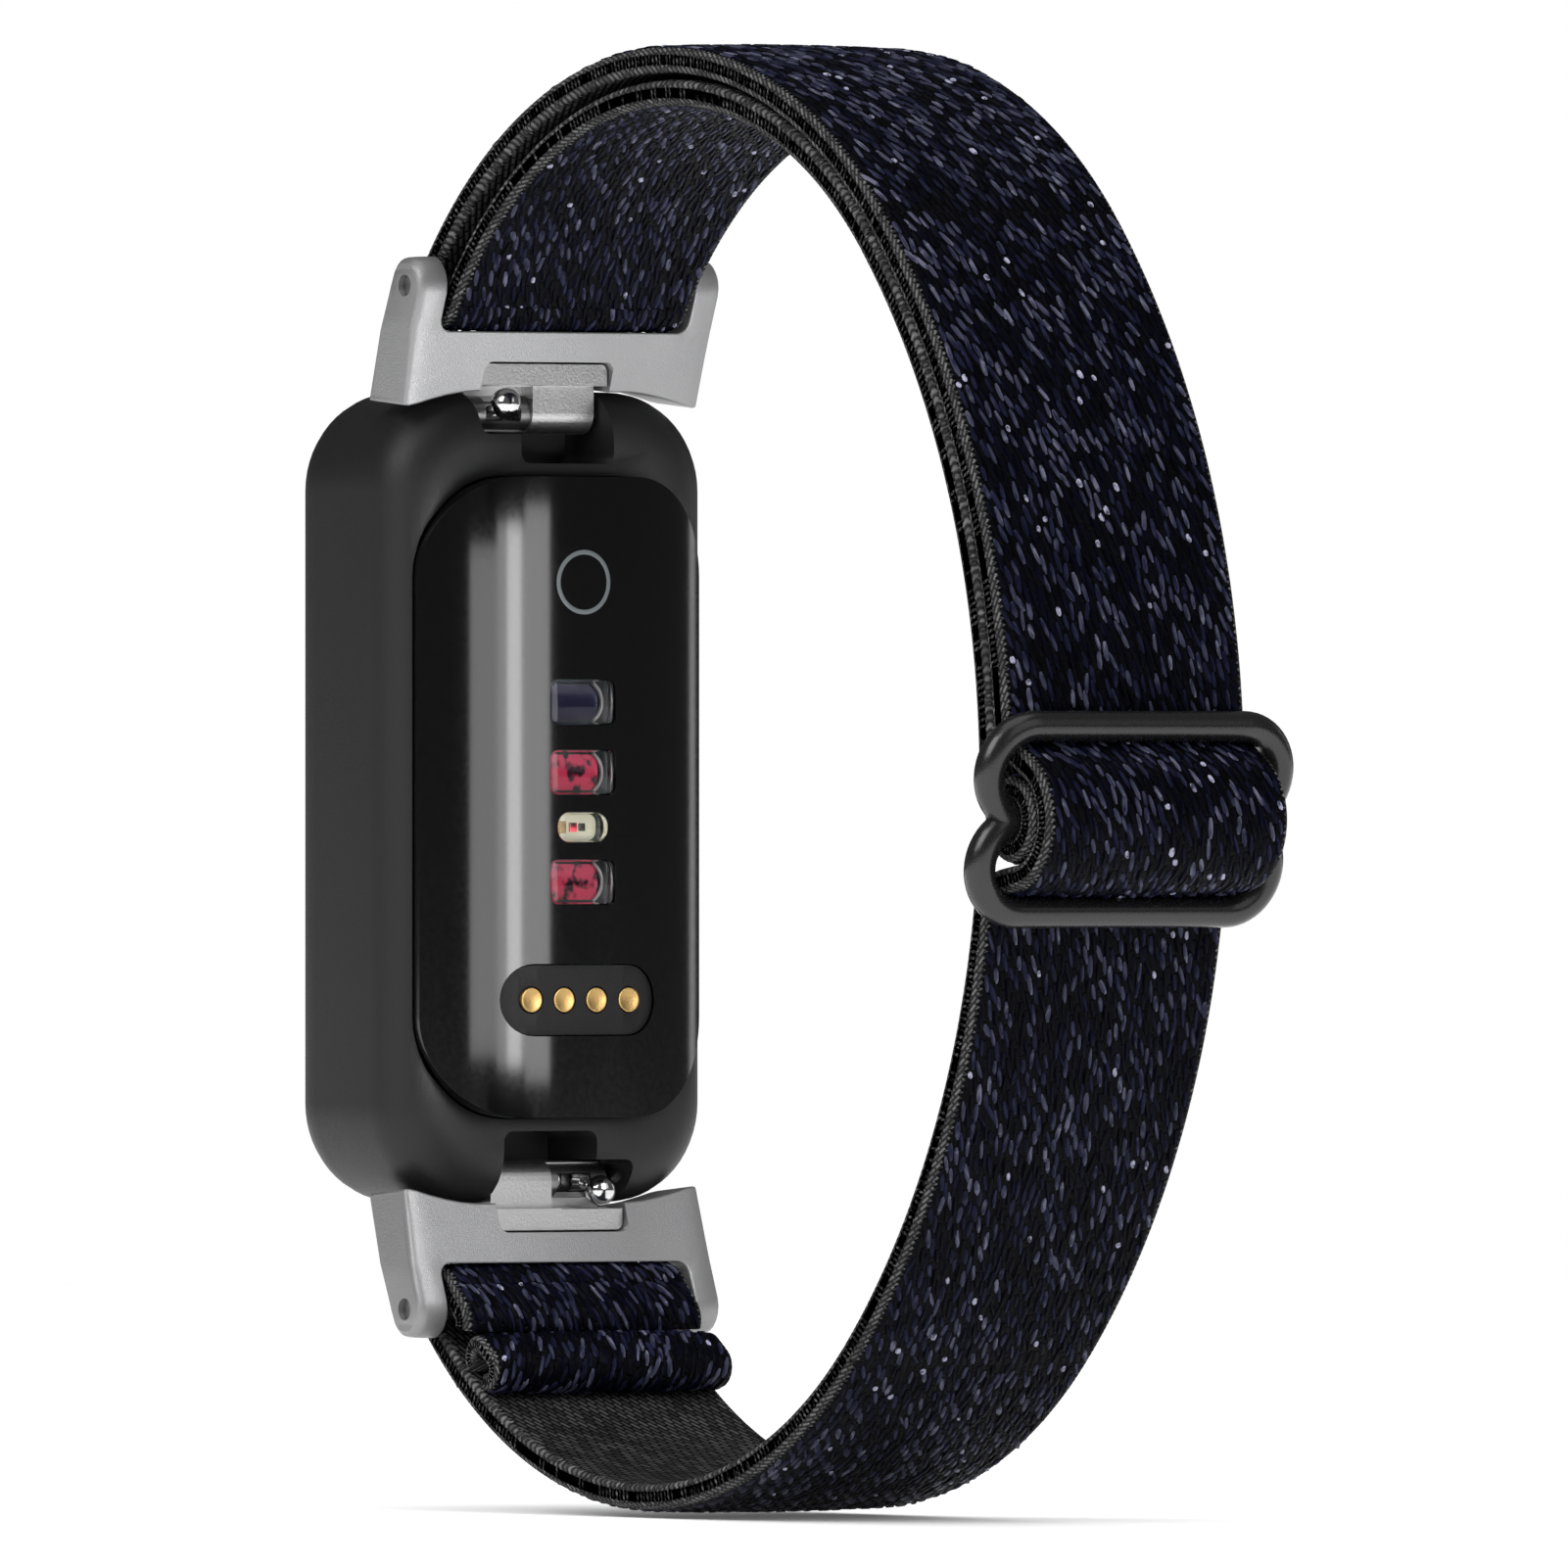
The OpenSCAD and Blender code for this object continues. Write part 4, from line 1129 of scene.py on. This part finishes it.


# %% [markdown]
# ### Finish of the webbing
# Four finishes share the strap. The ground under the stitches is a near-black rib. The stitches go
# from black navy to a cool grey with their tone, and the brightest few are the metallic yarn that
# glitters. The back is a dull black knit, and the cut edges are a coarser one; on both, the rows of loops are
# real, and their grey colour is a painted sheen where the loop tops catch light.
# These three knits use one group, which turns the strip's UV map into staggered rows of loops.


# %% Knit group
def make_knit_group():
    group, given, result = new_group(
        "knit_rows",
        [("Ground", "Color"), ("Loop", "Color"), ("Loops", "Float"), ("Slant", "Float")],
        [("Colour", "Color"), ("Height", "Float")],
    )
    link = group.links.new
    place = add_node(group, "UVMap")
    mapping = add_node(group, "Mapping")
    turn = add_node(group, "CombineXYZ")
    link(given.outputs["Slant"], turn.inputs["Z"])
    link(place.outputs["UV"], mapping.inputs["Vector"])
    link(turn.outputs["Vector"], mapping.inputs["Rotation"])
    rows = add_node(
        group, "TexBrick", Mortar_Size=0.16, Mortar_Smooth=1.0, Brick_Width=0.9, Row_Height=0.4,
        Color1=(1, 1, 1, 1), Color2=(0.25, 0.25, 0.25, 1), Mortar=(0, 0, 0, 1),
    )
    rows.offset = 0.5
    link(mapping.outputs["Vector"], rows.inputs["Vector"])
    link(given.outputs["Loops"], rows.inputs["Scale"])
    tint = add_node(group, "Mix")
    tint.data_type = "RGBA"
    link(rows.outputs["Color"], tint.inputs["Factor"])
    link(given.outputs["Ground"], tint.inputs[6])
    link(given.outputs["Loop"], tint.inputs[7])
    lift = add_node(group, "Math")
    lift.operation = "SUBTRACT"
    lift.inputs[0].default_value = 1
    link(rows.outputs["Fac"], lift.inputs[1])
    link(tint.outputs[2], result.inputs["Colour"])
    link(lift.outputs["Value"], result.inputs["Height"])
    return group


knit_group = make_knit_group()


def make_knit(name, ground, loop, loops, slant, roughness, depth):
    """A knitted surface that follows the piece's UV map."""
    tree, shader, effect = new_material(name, knit_group, Roughness=roughness, Specular_IOR_Level=0.06)
    set_inputs(effect, {
        "Ground": (*ground, 1), "Loop": (*loop, 1), "Loops": loops, "Slant": math.radians(slant),
    })
    use_effect(tree, shader, effect, depth, 0.00008)


make_knit("strap_navy", (0.0004, 0.0004, 0.001), (0.0012, 0.0013, 0.005), 1.0, -stitch_slant, 0.6, 0.8)
# On the edge and back knits the yarn is black, and the lighter loop colour is a painted sheen on the loop
# tops.
make_knit("strap_edge", (0.012, 0.012, 0.012), (0.13, 0.13, 0.13), 1.6, 35, 0.7, 1.0)
make_knit("strap_black", (0.0015, 0.0015, 0.0015), (0.05, 0.05, 0.051), 1.25, 24, 0.7, 1.0)


# %% Yarn finish
yarn_tree, yarn_shader, _ = new_material("strap_yarn", Specular_IOR_Level=0.05)
tone = add_node(yarn_tree, "Attribute")
tone.attribute_name = "yarn_tone"
ramp = add_node(yarn_tree, "ValToRGB")
stops = ramp.color_ramp.elements
stops[0].color = (0.0003, 0.0003, 0.0012, 1)
stops[1].color = (0.3, 0.3, 0.4, 1)
for position, colour in (
    (0.3, (0.0008, 0.001, 0.006, 1)), (0.55, (0.0085, 0.0095, 0.026, 1)), (0.8, (0.044, 0.046, 0.074, 1)),
):
    stops.new(position).color = colour
gloss = add_node(yarn_tree, "MapRange", To_Min=0.5, To_Max=0.22)
yarn_tree.links.new(tone.outputs["Fac"], ramp.inputs["Fac"])
yarn_tree.links.new(tone.outputs["Fac"], gloss.inputs["Value"])
yarn_tree.links.new(ramp.outputs["Color"], yarn_shader.inputs["Base Color"])
yarn_tree.links.new(gloss.outputs["Result"], yarn_shader.inputs["Roughness"])
strap_finishes = [finishes["strap_" + what] for what in ("navy", "black", "yarn", "edge")]
print("made webbing finishes")


# %% Wrapping a flat piece along a route
def wrap(piece, route, crown=0.12):
    """Bends a flat piece so that its X follows the route and its Z stands out from it."""
    even, points = route
    flat = np.array([v.co for v in piece.data.vertices])
    at = [np.interp(flat[:, 0], even, points[:, i]) for i in range(4)]
    normal = np.stack(at[2:], 1)
    normal /= np.linalg.norm(normal, axis=1)[:, None]
    rise = flat[:, 2] + crown * (1 - (2 * flat[:, 1] / strap_w) ** 2) * (flat[:, 2] > 0.6)
    placed = np.stack([at[0] + normal[:, 0] * rise, flat[:, 1], at[1] + normal[:, 1] * rise], 1)
    piece.data.vertices.foreach_set("co", (placed * MM).ravel())
    piece.data.update()


def webbing(name, route, thickness, seed, replaces):
    """A length of webbing: made flat and laid along a route."""
    length = route[0][-1]
    strip = flat_strip(name, length, strap_w, thickness)
    stitches = lay_stitches(name + "_stitches", length, strap_w, thickness, seed)
    for piece in (strip, stitches):
        piece.data.materials.clear()
        for material in strap_finishes:
            piece.data.materials.append(material)
    for face in strip.data.polygons:
        face.material_index = 0 if face.normal.z > 0.95 else 1 if face.normal.z < -0.95 else 3
    for face in stitches.data.polygons:
        face.material_index = 2
    join([strip, stitches], name)
    wrap(strip, route)
    start_edit(strip)
    bpy.ops.mesh.select_all(action="SELECT")
    bpy.ops.mesh.normals_make_consistent(inside=False)
    end_edit(strip)
    smooth(strip, 50)
    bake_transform(strip)
    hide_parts(*replaces)
    print(name, "has", len(strip.data.polygons), "faces")


# %% The lengths of webbing
webbing("upper_webbing", upper_route, strap_t, 11,
        ["upper_fold", "crown_outer", "crown_inner"])
webbing("outer_flank_webbing", outer_flank_route, strap_t, 12,
        ["flank_outer", "slider_weave"])
webbing("inner_flank_webbing", inner_flank_route, strap_t, 13,
        ["flank_inner", "sewn_loop"])
webbing("lower_flank_webbing", lower_flank_route, strap_t, 14,
        ["flank_lower"])
webbing("lower_webbing", lower_route, strap_t, 15,
        ["lower_fold", "keel"])

# %% [markdown]
# ## Rolled hem
# The strip's end is rolled once and sewn down, which leaves a fat little roll with the woven face
# outside. It is the same webbing laid along a closed oval route.

# %% Rolled hem
hem_t, hem_l, hem_layer = 2.1, 3.1, 0.85
tail_span, seam_gap = 6.4, 0.3
core_r = hem_t / 2 - hem_layer
core_half = (hem_l - hem_t) / 2
hem_path = keel_r - hem_t / 2 - layer_gap
hem_angle = keel_end + tail_span + math.degrees((hem_l / 2 + seam_gap) / hem_path)
hem_cx = keel_x + hem_path * math.cos(math.radians(hem_angle))
hem_cz = keel_z + hem_path * math.sin(math.radians(hem_angle))
shift_x = -core_half * math.sin(math.radians(hem_angle))
shift_z = core_half * math.cos(math.radians(hem_angle))
hem_route = joined(
    arc(hem_cx + shift_x, hem_cz + shift_z, core_r, hem_angle, hem_angle + 180, 1),
    arc(hem_cx - shift_x, hem_cz - shift_z, core_r, hem_angle + 180, hem_angle + 359, 1),
    face_at=hem_layer,
)
webbing("hem_roll", hem_route, hem_layer, 16,
        ["rolled_hem"])

# %% [markdown]
# ## Studio
# The floor is a wide pale sheet at the lowest point of the loop, and the sky behind it is white.
# Black gloss shows only what it mirrors, so a narrow panel behind gives its edge a thin line, and
# four strip lamps inside the loop give the long streak on the back cover. The sky is dimmer for
# mirrored light than for the camera, which keeps the black pieces black.

# %% Floor
floor_z = cad_box[0].z - 0.4 * MM
bpy.ops.object.select_all(action="DESELECT")
bpy.ops.mesh.primitive_plane_add(size=1.2, location=(0, 0, floor_z))
floor = bpy.context.active_object
floor.name = "floor"
make_finish(
    "floor_paint", (0.93, 0.93, 0.93), 0.99, (0.7, 0.8), grain=400, depth=0.0,
    Emission_Color=(1, 1, 1, 1), Emission_Strength=0.09,
)
floor.data.materials.append(finishes["floor_paint"])


# %% World and lights
world = bpy.data.worlds.new("studio")
bpy.context.scene.world = world
world.use_nodes = True
sky = world.node_tree.nodes["Background"]
path = add_node(world.node_tree, "LightPath")
strength = add_node(world.node_tree, "MapRange", To_Min=1.0, To_Max=0.09)
world.node_tree.links.new(path.outputs["Is Glossy Ray"], strength.inputs["Value"])
world.node_tree.links.new(strength.outputs["Result"], sky.inputs["Strength"])
sky.inputs["Color"].default_value = (1, 1, 1, 1)


def lamp_at(name, place, facing, width, height, power):
    """A rectangular lamp at a place that shines along a direction; sizes in metres."""
    light = bpy.data.lights.new(name, "AREA")
    light.shape = "RECTANGLE"
    light.size, light.size_y = width, height
    light.energy = power
    lamp = bpy.data.objects.new(name, light)
    bpy.context.collection.objects.link(lamp)
    lamp.location = place
    lamp.rotation_mode = "QUATERNION"
    lamp.rotation_quaternion = facing.to_track_quat("-Z", "Y")
    return lamp


def panel(name, azimuth, elevation, distance, width, height, power):
    """A soft light panel that looks at the object from an azimuth and an elevation in degrees."""
    a, e = math.radians(azimuth), math.radians(elevation)
    back = Vector((math.sin(a) * math.cos(e), -math.cos(a) * math.cos(e), math.sin(e)))
    lamp_at(name, back * distance, -back, width, height, power)


panel("key", 12, 36, 0.8, 0.5, 0.5, 3.5)
panel("fill", 105, 30, 0.9, 0.6, 0.6, 0.85)
panel("top", 60, 80, 0.8, 0.7, 0.7, 1.5)
panel("rim", 180, 0, 0.6, 0.04, 0.5, 0.13)

# %% Strip lights for the back cover
def strip_lamp(name, distance, centre_y, centre_z, width, height, power):
    """A small panel inside the loop, seen only as a long reflection in the back cover."""
    place = Vector((back_apex + distance, centre_y, centre_z)) * MM
    lamp = lamp_at(name, place, Vector((-1, 0, 0)), width * MM, height * MM, power)
    lamp.visible_camera = False


strip_lamp("strip_left", 26, -6.9, -0.2, 5.8, 25.2, 0.0017)
strip_lamp("strip_middle", 26, -1.0, 0.1, 6.0, 26.8, 0.0026)
strip_lamp("strip_right", 26, 4.9, 0.2, 5.8, 28.4, 0.0026)
strip_lamp("strip_ridge", 25.5, -0.4, 0.1, 3.0, 26.8, 0.0018)
bpy.context.scene.view_settings.view_transform = "Standard"
print("studio ready")
